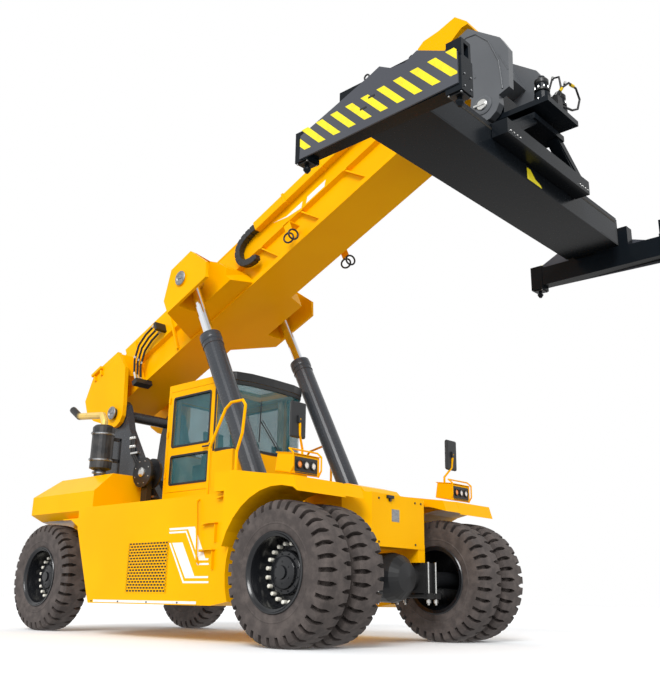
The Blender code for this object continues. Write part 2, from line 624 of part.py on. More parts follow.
def boom_hoses(pivot):
    """Three hoses clamped to the right side of the boom's rear end, from a manifold below it."""
    body = add("boom_hoses", box((0.56, 0.70), (-0.72, -0.36), (0.30, BOOM_BOTTOM - GAP)), pivot, BLACK)
    join(body, box((1.45, 1.51), (-0.70, -BOOM_HALF_WIDTH - GAP), (1.00, 1.16)))
    for number in range(3):
        y = -0.55 - 0.06 * number
        lift = 0.05 * number
        route = [(0.63, y, 0.35), (0.63, y, 0.50 + lift), (0.70, y, 0.72 + lift), (0.90, y, 0.93 + lift),
                 (1.15, y, 1.01 + lift), (1.48, y, 1.03 + lift)]
        join(body, swept(route, 0.021, 8))


def gooseneck(slide, pin):
    """The head of the boom: two cheek plates round a box, with the pin of the spreader."""
    cheek = [(8.74, 1.20), (9.18, 1.20), (9.50, 0.62), (9.52, 0.36), (9.26, -0.20)]
    cheek += arc(pin, 0.27, -10, -170, 6)
    cheek += [(8.72, 0.10), (8.86, 0.42)]
    body = add("gooseneck", box((8.7203, 9.22), (-0.50, 0.50), (0.46, 1.16)), slide, SLATE)
    for side in (-1, 1):
        join(body, prism(cheek, *mirrored(side, 0.46, 0.58)))
    join(body, rod(0.09, -0.52, 0.52, (pin[0], 0, pin[1])))


def lift_cylinders(machine, lean, length):
    """A barrel on each side, hinged at its foot, with the rod that pushes the boom."""
    collar = BARREL_RADIUS + 0.012
    bore = ROD_RADIUS + 0.002
    tube = [(0, 0.12), (0.13, 0.14), (BARREL_RADIUS, 0.24), (BARREL_RADIUS, BARREL_LENGTH - 0.16),
            (collar, BARREL_LENGTH - 0.14), (collar, BARREL_LENGTH), (bore, BARREL_LENGTH), (bore, 0.36),
            (0, 0.36)]
    for side, word in ((-1, "right"), (1, "left")):
        foot = empty(f"lift_foot_{word}", machine, (LIFT_FOOT_X, side * LIFT_Y, LIFT_FOOT_Z), lean)
        barrel = add(f"lift_barrel_{word}", turned(tube, (0, 0, 0), "Z"), foot, SLATE, smooth=True)
        join(barrel, rod(0.18, -0.11, 0.11, (0, 0, 0)))
        cut(barrel, rod(PIN_RADIUS + 0.0015, -0.3, 0.3, (0, 0, 0)))
        shaft = add(f"lift_rod_{word}", rod(ROD_RADIUS, 1.5, length - 0.10, (0, 0, 0), "Z"), foot, CHROME,
                    smooth=True)
        join(shaft, rod(EYE_RADIUS, -0.10, 0.10, (0, 0, length)))
        join(shaft, rod(PIN_RADIUS, -0.184, 0.184, (0, 0, length)))


# ---- spreader ----
def head_yoke(head):
    """Hangs from the boom's pin and holds the slewing ring and its two motors."""
    body = add("head_yoke", box((-0.24, 0.24), (-0.42, 0.42), (-0.20, 0.17)), head, SLATE)
    join(body, box((-0.60, 0.92), (-0.44, 0.44), (-0.23, -0.15)))
    join(body, rod(0.46, -0.31, -0.18, (0, 0, 0), "Z"))
    motor = [(0, -0.19), (0.11, -0.19), (0.11, 0.02), (0.085, 0.04), (0.085, 0.24), (0.05, 0.30), (0, 0.30)]
    for y in (-0.24, 0.26):
        join(body, turned(motor, (0.74, y, 0), "Z", 16))
    cut(body, rod(0.0915, -0.6, 0.6, (0, 0, 0)))


def spreader_hoses(head):
    """The looped hoses that feed the slewing motors, on a manifold beside them."""
    body = add("spreader_hoses", box((0.60, 0.88), (-0.06, 0.08), (-0.15 + GAP, 0.06)), head, BLACK)
    loops = ([(0.80, -0.02, 0.02), (0.92, -0.02, 0.16), (0.98, 0.10, 0.28), (0.98, 0.32, 0.30),
              (0.96, 0.46, 0.20), (0.92, 0.46, 0.06), (0.90, 0.32, -0.02), (0.86, 0.10, -0.04),
              (0.82, 0.04, -0.04)],
             [(0.70, 0.02, 0.02), (0.72, 0.02, 0.24), (0.78, 0.02, 0.40), (0.88, 0.02, 0.38),
              (0.90, 0.02, 0.20), (0.84, 0.02, 0.03)],
             [(0.66, -0.03, 0.02), (0.62, -0.03, 0.22), (0.60, 0.00, 0.36), (0.58, 0.05, 0.22),
              (0.64, 0.05, 0.03)])
    for route in loops:
        join(body, swept(route, 0.016, 8))


def rotator_frame(rotator):
    """The turning frame: a plate under the ring, four legs and the rails that hold the beam."""
    body = add("rotator_frame", box((-0.70, 0.70), (-0.42, 0.42), (-0.40, -0.316)), rotator, SLATE)
    rail_z = (-0.95, -0.74)
    for end in (-1, 1):
        rail_x = mirrored(end, BEAM_HALF_WIDTH + 0.008, BEAM_HALF_WIDTH + 0.24)
        join(body, box(rail_x, (-1.15, 1.15), rail_z))
        for side in (-1, 1):
            leg = [(side * 0.16, -0.33), (side * 0.41, -0.33), (side * 1.12, -0.80), (side * 0.82, -0.80)]
            join(body, prism(leg, *mirrored(end, 0.50, 0.66), "X"))


def main_beam(beam):
    """The spreader's box beam, with a channel for each end beam's arm."""
    half = BEAM_HALF_WIDTH
    z = (BEAM_BOTTOM_Z - HEAD_PIN_Z, BEAM_TOP_Z - HEAD_PIN_Z)
    body = add("main_beam", box((-half, half), (-BEAM_HALF_LENGTH, BEAM_HALF_LENGTH), z), beam, SLATE)
    for side in (-1, 1):
        cut(body, box(mirrored(side, 0.05, half - 0.05), (-4, 4), (z[0] + 0.05, z[1] - 0.05)))


def end_beam(parent, side, word):
    """An end beam: its arm in the main beam, a cross box, corner housings and twistlocks."""
    low = BEAM_BOTTOM_Z - HEAD_PIN_Z
    corner_y = CORNER_PITCH_Y / 2
    body = add(f"end_beam_{word}", box((-1.05, 1.05), mirrored(side, corner_y - 0.10, corner_y + 0.10),
                                       (-1.45, -1.13)), parent, SLATE)
    join(body, box((-0.52, 0.52), mirrored(side, corner_y - 0.10, corner_y + 0.09), (-1.20, -0.80)))
    arm_x = mirrored(-side, 0.056, BEAM_HALF_WIDTH - 0.056)
    arm_z = (low + 0.056, BEAM_TOP_Z - HEAD_PIN_Z - 0.056)
    join(body, box(arm_x, mirrored(side, -1.3, corner_y - 0.05), arm_z))
    tip = TWISTLOCK_TIP_Z - HEAD_PIN_Z
    twistlock = [(0, tip), (0.022, tip), (0.05, tip + 0.04), (0.05, tip + 0.06), (0.03, tip + 0.07),
                 (0.03, -1.48), (0, -1.48)]
    housing_y = mirrored(side, corner_y - 0.11, corner_y + 0.11)
    for end in (-1, 1):
        x = end * CORNER_PITCH_X / 2
        join(body, box((x - 0.105, x + 0.105), housing_y, (-1.51, -1.09)))
        join(body, turned(twistlock, (x, side * corner_y, 0), "Z", 12))
    join(body, box((1.03, CORNER_PITCH_X / 2 + 0.10), mirrored(side, corner_y - 0.09, corner_y + 0.09),
                   (-1.15, -0.85)))
    cut(body, box((0.9, 1.3), mirrored(side, corner_y - 0.045, corner_y + 0.045), (-1.06, -0.90)))


def striped_plate(parent, side, word):
    """The plate with warning stripes on the outside of an end beam."""
    outer = CORNER_PITCH_Y / 2 + 0.11 + GAP
    outline = [(-1.14, -1.49), (1.20, -1.43), (1.20, -1.04), (0.67, -0.78), (0.50, -0.86), (0.30, -0.84),
               (0.13, -0.74), (-0.02, -0.80), (-1.13, -1.17)]
    outline = [(-side * x, z) for x, z in outline]
    add(f"striped_plate_{word}", prism(outline, *mirrored(side, outer, outer + 0.02)), parent, SLATE)


def build():
    clear_scene()
    machine = empty("machine", None, (FRONT_AXLE_X, 0, 0))
    for part in (frame_rails, front_housing, counterweight, boom_tower, engine, deck, front_axle, rear_axle,
                 muffler, hose_reel, handrails, cab, cab_door, cab_inside, front_wheels, rear_wheels):
        part(machine)
    for side, word in ((-1, "right"), (1, "left")):
        for part in (side_body, fender, mirror_post):
            part(machine, side, word)

    pivot = empty("boom_pivot", machine, (PIVOT_X, 0, PIVOT_Z), BOOM_ANGLE)
    boom_outer(pivot)
    boom_hoses(pivot)
    slide = empty("telescope", pivot)
    boom_inner(slide)
    cos, sin = math.cos(BOOM_ANGLE), math.sin(BOOM_ANGLE)
    reach, rise = HEAD_PIN_X - PIVOT_X, HEAD_PIN_Z - PIVOT_Z
    gooseneck(slide, (reach * cos + rise * sin, rise * cos - reach * sin))

    head_x = PIVOT_X + LIFT_HEAD_U * cos - LIFT_HEAD_V * sin
    head_z = PIVOT_Z + LIFT_HEAD_U * sin + LIFT_HEAD_V * cos
    across, up = head_x - LIFT_FOOT_X, head_z - LIFT_FOOT_Z
    lift_cylinders(machine, math.atan2(-across, up), math.hypot(across, up))

    head = empty("spreader_pin", machine, (HEAD_PIN_X, 0, HEAD_PIN_Z))
    head_yoke(head)
    spreader_hoses(head)
    rotator = empty("rotator", head)
    rotator_frame(rotator)
    beam = empty("side_shift", rotator)
    main_beam(beam)
    for side, word in ((-1, "right"), (1, "left")):
        extension = empty(f"extension_{word}", beam)
        end_beam(extension, side, word)
        striped_plate(extension, side, word)


build()
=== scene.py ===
import math

import bmesh
import bpy
from mathutils import Matrix, Vector


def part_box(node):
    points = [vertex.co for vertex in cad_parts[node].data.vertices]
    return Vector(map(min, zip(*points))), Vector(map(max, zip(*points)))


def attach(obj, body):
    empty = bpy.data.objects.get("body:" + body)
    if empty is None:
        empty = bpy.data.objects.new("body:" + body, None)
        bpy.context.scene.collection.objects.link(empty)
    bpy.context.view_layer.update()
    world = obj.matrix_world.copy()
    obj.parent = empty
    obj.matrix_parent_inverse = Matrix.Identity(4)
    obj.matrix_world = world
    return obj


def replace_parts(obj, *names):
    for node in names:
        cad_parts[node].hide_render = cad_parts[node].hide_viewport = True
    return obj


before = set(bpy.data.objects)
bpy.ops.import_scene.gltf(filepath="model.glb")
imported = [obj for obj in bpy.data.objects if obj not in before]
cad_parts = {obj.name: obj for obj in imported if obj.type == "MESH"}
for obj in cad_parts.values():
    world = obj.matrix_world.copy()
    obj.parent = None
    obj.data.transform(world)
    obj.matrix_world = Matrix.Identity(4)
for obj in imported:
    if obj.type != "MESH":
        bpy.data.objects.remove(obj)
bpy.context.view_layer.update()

# ---- studio and camera ----
# The machine stands on a plain white floor in front of a white surround. One wide soft light shines on its
# right-hand side and its front, and the low camera looks up along the raised boom.
AXLE_X = (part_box("front_tyre_right_outer")[0].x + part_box("front_tyre_left_outer")[1].x) / 2
SIDES = ((-1, "right"), (1, "left"))
SURROUND = ((0.40, 0.66), (0.49, 1.0), (0.83, 1.0), (0.93, 0.58))


def deselect():
    bpy.ops.object.select_all(action="DESELECT")


deselect()
bpy.ops.object.light_add(type="SUN", location=(AXLE_X + 6, -9, 9))
key_light = bpy.context.object
key_light.name = "key_light"
key_light.data.energy = 2.3
key_light.data.angle = math.radians(24)
key_light.rotation_euler = Vector((0.50, -0.80, 0.62)).to_track_quat("Z", "Y").to_euler()

# the surround is white where it is seen, darker overhead, and a shaded grey below the floor's level
world = bpy.data.worlds.new("white_surround")
bpy.context.scene.world = world
world.use_nodes = True
sky = world.node_tree
direction = sky.nodes.new("ShaderNodeTexCoord")
split = sky.nodes.new("ShaderNodeSeparateXYZ")
ramp = sky.nodes.new("ShaderNodeValToRGB")
lift = sky.nodes.new("ShaderNodeMapRange")
lift.inputs["From Min"].default_value = -1
while len(ramp.color_ramp.elements) < 4:
    ramp.color_ramp.elements.new(0.5)
for stop, (height, grey) in zip(ramp.color_ramp.elements, SURROUND):
    stop.position = height
    stop.color = (grey, grey, grey, 1)
sky.links.new(direction.outputs["Generated"], split.inputs[0])
sky.links.new(split.outputs["Z"], lift.inputs["Value"])
sky.links.new(lift.outputs["Result"], ramp.inputs["Fac"])
sky.links.new(ramp.outputs["Color"], sky.nodes["Background"].inputs["Color"])
bpy.context.scene.view_settings.view_transform = "Standard"

deselect()
bpy.ops.mesh.primitive_plane_add(size=400, location=(0, 0, 0))
floor = bpy.context.object
floor.name = "floor"
floor.visible_diffuse = False
floor.visible_glossy = False
floor_white = bpy.data.materials.new("floor_white")
floor_white.use_nodes = True
floor_inputs = floor_white.node_tree.nodes["Principled BSDF"].inputs
floor_inputs["Base Color"].default_value = (0.97, 0.985, 1.0, 1)
floor_inputs["Roughness"].default_value = 0.9
floor.data.materials.append(floor_white)

deselect()
bpy.ops.object.camera_add(location=(AXLE_X + 7.635, -9.62, 0.559))
camera = bpy.context.object
camera.data.lens = 44.72
camera.data.clip_end = 500
turn, tip, roll = (math.radians(angle) for angle in (42.486, 107.256, 0.948))
camera.rotation_euler = (Matrix.Rotation(turn, 4, "Z") @ Matrix.Rotation(tip, 4, "X")
                         @ Matrix.Rotation(roll, 4, "Z")).to_euler()
bpy.context.scene.camera = camera


# ---- body panels and frame ----
# Welded steel plate: two frame rails, the body sides, the fenders and the box over the drive axle, all
# sprayed in the same thick gloss yellow, which shows a faint orange peel and a little road dust low down.
class Wire:
    """An output of a node, or a number that it works out, with Python's own arithmetic."""

    def __init__(self, finish, socket):
        self.finish = finish
        self.socket = socket

    def math(self, operation, *values):
        sockets = {place: value for place, value in enumerate(values)}
        return self.finish.node("Math", {"operation": operation}, sockets)

    def __add__(self, other):
        return self.math("ADD", self, other)

    __radd__ = __add__

    def __sub__(self, other):
        return self.math("SUBTRACT", self, other)

    def __rsub__(self, other):
        return self.math("SUBTRACT", other, self)

    def __mul__(self, other):
        return self.math("MULTIPLY", self, other)

    __rmul__ = __mul__

    def __gt__(self, other):
        return self.math("GREATER_THAN", self, other)

    def part(self):
        return self.math("FRACT", self)

    def between(self, low, high):
        """Rises smoothly from 0 at low to 1 at high."""
        return self.finish.node("MapRange", {"interpolation_type": "SMOOTHSTEP"},
                                {"Value": self, "From Min": low, "From Max": high})


class Finish:
    """A material whose nodes are added one call at a time."""

    def __init__(self, name, **values):
        self.material = bpy.data.materials.new(name)
        self.material.use_nodes = True
        self.tree = self.material.node_tree
        self.shader = self.tree.nodes["Principled BSDF"]
        self.set(**values)

    def set(self, **values):
        for name, value in values.items():
            self.feed(self.shader.inputs[name.replace("_", " ")], value)

    def feed(self, socket, value):
        if isinstance(value, Wire):
            self.tree.links.new(value.socket, socket)
        elif isinstance(value, tuple) and len(value) == 3 and socket.type == "RGBA":
            socket.default_value = (*value, 1)
        else:
            socket.default_value = value

    def node(self, kind, settings=None, sockets=None, output=0):
        made = self.tree.nodes.new("ShaderNode" + kind)
        for name, value in (settings or {}).items():
            setattr(made, name, value)
        for name, value in (sockets or {}).items():
            self.feed(made.inputs[name], value)
        return Wire(self, made.outputs[output])

    def place(self):
        """The X, Y and Z of a point of the piece, in metres."""
        point = self.node("TexCoord", output=3)
        return point, *[self.node("SeparateXYZ", sockets={0: point}, output=k) for k in range(3)]

    def noise(self, point, scale, detail=2.0, rough=0.5):
        return self.node("TexNoise", sockets={"Vector": point, "Scale": scale, "Detail": detail,
                                              "Roughness": rough})

    def blend(self, share, first, second):
        return self.node("Mix", {"data_type": "RGBA"}, {0: share, 6: first, 7: second}, 2)

    def bump(self, height, depth, strength=1.0):
        """Sets the surface's relief: height is 0 to 1, depth in metres."""
        self.set(Normal=self.node("Bump", sockets={"Height": height, "Distance": depth, "Strength": strength}))


def gloss_paint(name, colour, shade, dust_height=0.0, roughness=0.28, shine=0.04):
    """Sprayed gloss paint: two close tones, orange peel, and dust up to dust_height above the ground."""
    paint = Finish(name, Coat_Weight=0.01, Coat_Roughness=0.12, Specular_IOR_Level=shine)
    point, _, _, z = paint.place()
    drift = paint.noise(point, 0.9, 3).between(0.35, 0.7)
    tone = paint.blend(drift * 0.6, colour, shade)
    speck = paint.noise(point, 26, 5, 0.65).between(0.56, 0.72)
    if dust_height:
        low = 1 - (z + paint.noise(point, 3, 4) * 0.5).between(0.35, dust_height)
        tone = paint.blend(low * (0.04 + speck * 0.22), tone, (0.32, 0.20, 0.03))
        paint.set(Roughness=roughness + low * 0.22 + speck * 0.05)
    else:
        paint.set(Roughness=roughness + speck * 0.06)
    paint.set(Base_Color=tone)
    paint.bump(paint.noise(point, 420, 2), 0.0004, 0.08)
    return paint


def dress(node, finish):
    """Gives a CAD node its finish."""
    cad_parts[node].data.materials.clear()
    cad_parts[node].data.materials.append(finish.material)


YELLOW_TONE = (0.92, 0.450, 0.0)
YELLOW_SHADE = (0.87, 0.395, 0.0)
yellow_low = gloss_paint("yellow_chassis_paint", YELLOW_TONE, YELLOW_SHADE, dust_height=1.25)
yellow_high = gloss_paint("yellow_paint", YELLOW_TONE, YELLOW_SHADE)
for node in ("frame_rails", "front_housing", "side_body_right", "side_body_left", "fender_right",
             "fender_left", "counterweight", "deck"):
    dress(node, yellow_low)


def tidy_up(name, made, finish, body):
    """Makes a piece of one shape or a list, with its place in its mesh, and its name, finish and body."""
    made = welded(made) if isinstance(made, list) else made
    deselect()
    made.select_set(True)
    bpy.context.view_layer.objects.active = made
    bpy.ops.object.transform_apply(location=True, rotation=True, scale=True)
    made.name = name
    made.data.name = name
    if finish:
        made.data.materials.clear()
        made.data.materials.append(finish.material)
    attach(made, body)
    return made


def primitive(kind, **sizes):
    deselect()
    getattr(bpy.ops.mesh, f"primitive_{kind}_add")(**sizes)
    return bpy.context.object


def rounded(made, width, segments=2):
    """Rounds the edges of a shape that stands alone, as a grinder leaves a weld."""
    bevel = made.modifiers.new("rounding", "BEVEL")
    bevel.width = width
    bevel.segments = segments
    bevel.limit_method = "ANGLE"
    bpy.context.view_layer.objects.active = made
    bpy.ops.object.modifier_apply(modifier=bevel.name)
    return made


def block(low, high, edge=0.004):
    """A rounded block between two opposite corners."""
    low, high = Vector(map(min, low, high)), Vector(map(max, low, high))
    made = primitive("cube", size=1, location=(low + high) / 2)
    made.scale = high - low
    bpy.ops.object.transform_apply(location=True, rotation=True, scale=True)
    return rounded(made, edge) if edge else made


def welded(shapes):
    """Makes one piece of several shapes."""
    deselect()
    for shape in shapes:
        shape.select_set(True)
    bpy.context.view_layer.objects.active = shapes[0]
    bpy.ops.object.join()
    return bpy.context.object


def copied(made, shift):
    """A copy with a mesh of its own, moved by shift."""
    twin = made.copy()
    twin.data = made.data.copy()
    bpy.context.collection.objects.link(twin)
    twin.location = made.location + Vector(shift)
    return twin


def closed_up(made):
    """Points all faces outwards and leaves edit mode."""
    bpy.ops.mesh.select_all(action="SELECT")
    bpy.ops.mesh.normals_make_consistent(inside=False)
    bpy.ops.object.mode_set(mode="OBJECT")
    return made


def slab(points, push, edge=0.0):
    """A flat shape through the points, thickened by push."""
    made = primitive("circle", vertices=len(points), fill_type="NGON", location=(0, 0, 0))
    for vertex, place in zip(made.data.vertices, points):
        vertex.co = place
    bpy.ops.object.mode_set(mode="EDIT")
    bpy.ops.mesh.select_all(action="SELECT")
    bpy.ops.mesh.extrude_region_move(TRANSFORM_OT_translate={"value": push})
    closed_up(made)
    return rounded(made, edge) if edge else made


def cut_plate(outline, thickness, at, side=-1, edge=0.0):
    """A flat plate with an (x, z) outline that stands across Y at `at`, and is thick towards side."""
    return slab([(x, at, z) for x, z in outline], (0, side * thickness, 0), edge)


# ---- side grilles ----
# The radiator draws its air through a punched panel in each body side: short slots in brick bond, cut in yellow
# sheet. A near-black sheet flush with the body face shows through the slots as painted shade for the hollow behind
# them.
GRILLE_X = (-3.22, -2.28)
GRILLE_Z = (0.63, 1.33)
GRILLE_ROWS = 17
GRILLE_COLUMNS = 13
GRILLE_WEB = 0.016


def mottled(name, scale, detail, patch, first, second, **values):
    """A finish whose colour drifts between two tones: patch is where its noise starts and ends."""
    made = Finish(name, **values)
    made.set(Base_Color=made.blend(made.noise(made.place()[0], scale, detail).between(*patch), first, second))
    return made


# Near-black mottled finish that is painted shade: it fills the grille slots and the grooves along the spreader
# beam.
painted_shade_black = mottled("painted_shade_black", 60, 3, (0.4, 0.7), (0.010, 0.009, 0.008), (0.045, 0.035, 0.02), Roughness=0.8)
BODY_FACE = -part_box("side_body_right")[0].y
for side, word in SIDES:
    face = side * BODY_FACE
    left, right = (AXLE_X + x for x in GRILLE_X)
    low, high = GRILLE_Z
    # the flat dark sheet under the webs is painted shade for the depth of the slots
    slot_shade = block((left, face, low), (right, face + side * 0.002, high), 0)
    tidy_up(f"grille_slot_shade_{word}", slot_shade, painted_shade_black, "chassis")
    row_height = (high - low) / GRILLE_ROWS
    column_width = (right - left) / GRILLE_COLUMNS
    strip = block((left - GRILLE_WEB, face, low - GRILLE_WEB / 2),
                  (right + GRILLE_WEB, face + side * 0.006, low + GRILLE_WEB / 2), 0.001)
    webs = [copied(strip, (0, 0, row * row_height)) for row in range(1, GRILLE_ROWS + 1)] + [strip]
    post = block((left - GRILLE_WEB / 2, face, low),
                 (left + GRILLE_WEB / 2, face + side * 0.005, low + row_height), 0)
    for row in range(GRILLE_ROWS):
        shift = 0.5 * (row % 2)
        for column in range(GRILLE_COLUMNS + 1 - row % 2):
            webs.append(copied(post, ((column + shift) * column_width, 0, row * row_height)))
    webs.append(post)
    for edge in (left, right):
        webs.append(block((edge - GRILLE_WEB, face, low),
                          (edge + GRILLE_WEB / 2, face + side * 0.006, high), 0.001))
    tidy_up(f"grille_{word}", webs, yellow_low, "chassis")


# ---- side markings, sill strips and steps ----
# Two white folded ribbons of cut vinyl lie on each body side, and a pale reflective strip runs along the
# sill. The driver climbs three small folded steps with a grab rail, welded in front of them.
vinyl = mottled("white_vinyl", 9, 4, (0.45, 0.75), (0.86, 0.86, 0.84), (0.74, 0.73, 0.69), Roughness=0.35)
RIBBONS = (
    [(-2.29, 1.505), (-1.72, 1.505), (-1.455, 1.075), (-1.385, 1.075), (-1.40, 1.05), (-1.585, 1.05),
     (-1.86, 1.475), (-2.27, 1.475)],
    [(-2.29, 1.455), (-1.90, 1.455), (-1.605, 1.015), (-1.385, 1.015), (-1.375, 0.99), (-1.62, 0.99),
     (-1.91, 1.43), (-2.275, 1.43)],
    [(-2.20, 1.30), (-1.97, 1.30), (-1.665, 0.845), (-1.375, 0.845), (-1.38, 0.82), (-1.86, 0.82)],
    [(-2.235, 1.30), (-1.885, 0.78), (-1.365, 0.78), (-1.365, 0.755), (-1.905, 0.755), (-2.27, 1.30)],
)


def bar(start, end, radius, sides=16):
    """A round bar from start to end."""
    start, end = Vector(start), Vector(end)
    made = primitive("cylinder", vertices=sides, radius=radius, depth=(end - start).length,
                     location=(start + end) / 2, rotation=(end - start).to_track_quat("Z", "Y").to_euler())
    bpy.ops.object.transform_apply(location=True, rotation=True, scale=True)
    bpy.ops.object.shade_smooth_by_angle(angle=math.radians(40))
    return made


def bent_bar(points, radius, sides=12):
    """Round bar bent at each point, with a ball of the same size in every bend."""
    pieces = [bar(start, end, radius, sides) for start, end in zip(points, points[1:])]
    for point in points[1:-1]:
        pieces.append(primitive("uv_sphere", segments=sides, ring_count=8, radius=radius * 1.01, location=point))
        bpy.ops.object.shade_smooth()
    return pieces


def here(x, y, z):
    """A place given from the ground below the front axle."""
    return Vector((AXLE_X + x, y, z))


def places(*points):
    """Places given from the ground below the front axle."""
    return [here(*point) for point in points]


def lump(low, high, edge=0.004):
    """A rounded block between two places given from the ground below the front axle."""
    return block(here(*low), here(*high), edge)


def bolt(foot, push, radius, edge=0.003, sides=6):
    """A bolt head that stands out of foot by push."""
    foot = Vector(foot)
    return rounded(bar(foot, foot + Vector(push), radius, sides), edge)


STEP_PLACES = ((-1.53, 1.19), (-1.50, 1.54), (-1.21, 1.88))
GRAB_RAIL = ((-1.585, 2.09, 1.00), (-1.585, 2.15, 1.04), (-1.60, 2.15, 1.30), (-1.655, 2.15, 1.84),
             (-1.655, 2.09, 1.88))
for side, word in SIDES:
    face = side * 2.10
    shapes = [cut_plate([(AXLE_X + x, z) for x, z in ribbon], 0.0015, face, side) for ribbon in RIBBONS]
    shapes.append(lump((-4.05, face, 0.485), (-1.60, face + side * 0.003, 0.52), 0))
    tidy_up(f"side_marking_{word}", shapes, vinyl, "chassis")
    steps = []
    for x, z in STEP_PLACES:
        tread = cut_plate([(AXLE_X + x, z), (AXLE_X + x + 0.27, z), (AXLE_X + x + 0.27, z - 0.012),
                           (AXLE_X + x + 0.10, z - 0.012), (AXLE_X + x, z - 0.035)], 0.07, face, side)
        steps.append(rounded(tread, 0.003))
        steps.append(lump((x + 0.24, face, z - 0.26), (x + 0.252, face + side * 0.045, z), 0.002))
    steps += bent_bar([here(x, side * y, z) for x, y, z in GRAB_RAIL], 0.013)
    tidy_up(f"steps_{word}", steps, yellow_low, "chassis")


# ---- axles and their hanging bolts ----
# The cast drive axle and the steer axle are painted black. Four long plated studs on each side clamp the
# drive axle up to the frame, with a black yoke plate and bright nuts below.
black_paint = gloss_paint("black_axle_paint", (0.012, 0.013, 0.015), (0.022, 0.021, 0.020), 1.0, 0.38, 0.3)
for node in ("front_axle", "rear_axle", "knuckle_right", "knuckle_left"):
    dress(node, black_paint)


def plated(name, colour, roughness, dull=0.72):
    """Zinc, nickel or chrome plate: bright metal with a fine unevenness, down to dull times its colour."""
    plate = Finish(name, Metallic=1.0)
    point = plate.place()[0]
    spread = plate.noise(point, 45, 4)
    plate.set(Base_Color=plate.blend(spread.between(0.35, 0.7), colour, tuple(dull * c for c in colour)))
    plate.set(Roughness=roughness + spread * (1 - dull) * 0.4)
    return plate


bright_steel = plated("bright_steel", (0.72, 0.72, 0.70), 0.22)
for side, word in SIDES:
    studs, yokes = [], []
    for y in (0.57, 0.75):
        for x in (-0.27, 0.28):
            at = (AXLE_X + x, side * y)
            studs.append(bar((*at, 0.52), (*at, 1.11), 0.016))
            studs.append(bar((*at, 0.545), (*at, 0.59), 0.032, 6))
            yokes.append(block((at[0] - 0.05, at[1] - 0.055, 0.60), (at[0] + 0.05, at[1] + 0.055, 0.68), 0.008))
    yokes.append(lump((-0.31, side * 0.50, 0.615), (0.32, side * 0.82, 0.665), 0.01))
    tidy_up(f"axle_studs_{word}", studs, bright_steel, "chassis")
    tidy_up(f"axle_yokes_{word}", yokes, black_paint, "chassis")


# ---- tyres ----
# Large industrial radial tyres. Deep slots cut both shoulders into lugs, staggered from side to side, and
# leave a plain rib round the middle; a thin ridge runs round each sidewall. Rubber that is worn and dusty.
LUGS = 34
COLUMNS = 4 * LUGS
SLOT_DEPTH = 0.075
TREAD = [(0.446, -0.21), (0.50, -0.238), (0.55, -0.250), (0.575, -0.252), (0.582, -0.257), (0.592, -0.257),
         (0.60, -0.252), (0.70, -0.256), (0.755, -0.253), (0.80, -0.244), (0.845, -0.226), (0.870, -0.195),
         (0.879, -0.13), (0.881, -0.055)]
TREAD += [(radius, -across) for radius, across in reversed(TREAD)]

rubber = Finish("worn_rubber")
rubber_point = rubber.place()[0]
mottle = rubber.noise(rubber_point, 7, 6, 0.6)
grit = rubber.noise(rubber_point, 90, 3)
rubber_tone = rubber.blend(mottle.between(0.35, 0.72), (0.050, 0.040, 0.037), (0.098, 0.080, 0.073))
rubber.set(Base_Color=rubber.blend(grit.between(0.58, 0.75) * 0.35, rubber_tone, (0.16, 0.135, 0.12)))
rubber.set(Roughness=0.72 + mottle * 0.2)
rubber.bump(grit, 0.002, 0.35)


def spun(profile, centre, steps, axis=(0, 1, 0)):
    """Turns a (radius, place along the axis) outline once round an axis through centre."""
    made = primitive("circle", vertices=len(profile), fill_type="NOTHING", location=(0, 0, 0))
    for vertex, (radius, along) in zip(made.data.vertices, profile):
        vertex.co = Vector(centre) + Vector((radius, 0, 0)) + along * Vector(axis)
    bpy.ops.object.mode_set(mode="EDIT")
    bpy.ops.mesh.select_all(action="SELECT")
    bpy.ops.mesh.spin(steps=steps, angle=2 * math.pi, center=centre, axis=axis)
    bpy.ops.mesh.select_all(action="SELECT")
    bpy.ops.mesh.remove_doubles(threshold=0.0001)
    bpy.ops.mesh.dissolve_degenerate(threshold=0.0001)
    return closed_up(made)


def lugged_tyre(centre):
    """A tyre round centre: the turned section, with its shoulder slots pressed in."""
    made = spun(TREAD, centre, COLUMNS)
    bpy.ops.object.mode_set(mode="EDIT")
    bpy.ops.mesh.select_all(action="DESELECT")
    bpy.ops.mesh.select_mode(type="FACE")
    shape = bmesh.from_edit_mesh(made.data)
    step = 2 * math.pi / COLUMNS
    for vertex in shape.verts:
        out = vertex.co - Vector(centre)
        # each slot tapers from wide at the shoulder to a point at the middle rib
        if abs(out.y) > 0.05 and math.hypot(out.x, out.z) > 0.74:
            nearest = round(math.atan2(out.z, out.x) / step)
            middle = 4 * round((nearest - (0.5 if out.y < 0 else 2.5)) / 4) + (0.5 if out.y < 0 else 2.5)
            if abs(middle - nearest) < 0.6:
                turn_by = (middle - nearest) * (0.7 if abs(out.y) < 0.06 else -0.45) * step
                vertex.co = Vector(centre) + Matrix.Rotation(-turn_by, 3, "Y") @ out
    for face in shape.faces:
        out = face.calc_center_median() - Vector(centre)
        radius = math.hypot(out.x, out.z)
        column = math.floor(math.atan2(out.z, out.x) / step) % 4
        if radius > 0.76 and abs(out.y) > 0.06 and column == (0 if out.y < 0 else 2):
            face.select = True
    bmesh.update_edit_mesh(made.data)
    bpy.ops.mesh.extrude_region_shrink_fatten(TRANSFORM_OT_shrink_fatten={"value": -SLOT_DEPTH})
    bpy.ops.mesh.select_mode(type="VERT")
    bpy.ops.object.mode_set(mode="OBJECT")
    bpy.ops.object.shade_smooth_by_angle(angle=math.radians(28))
    return made


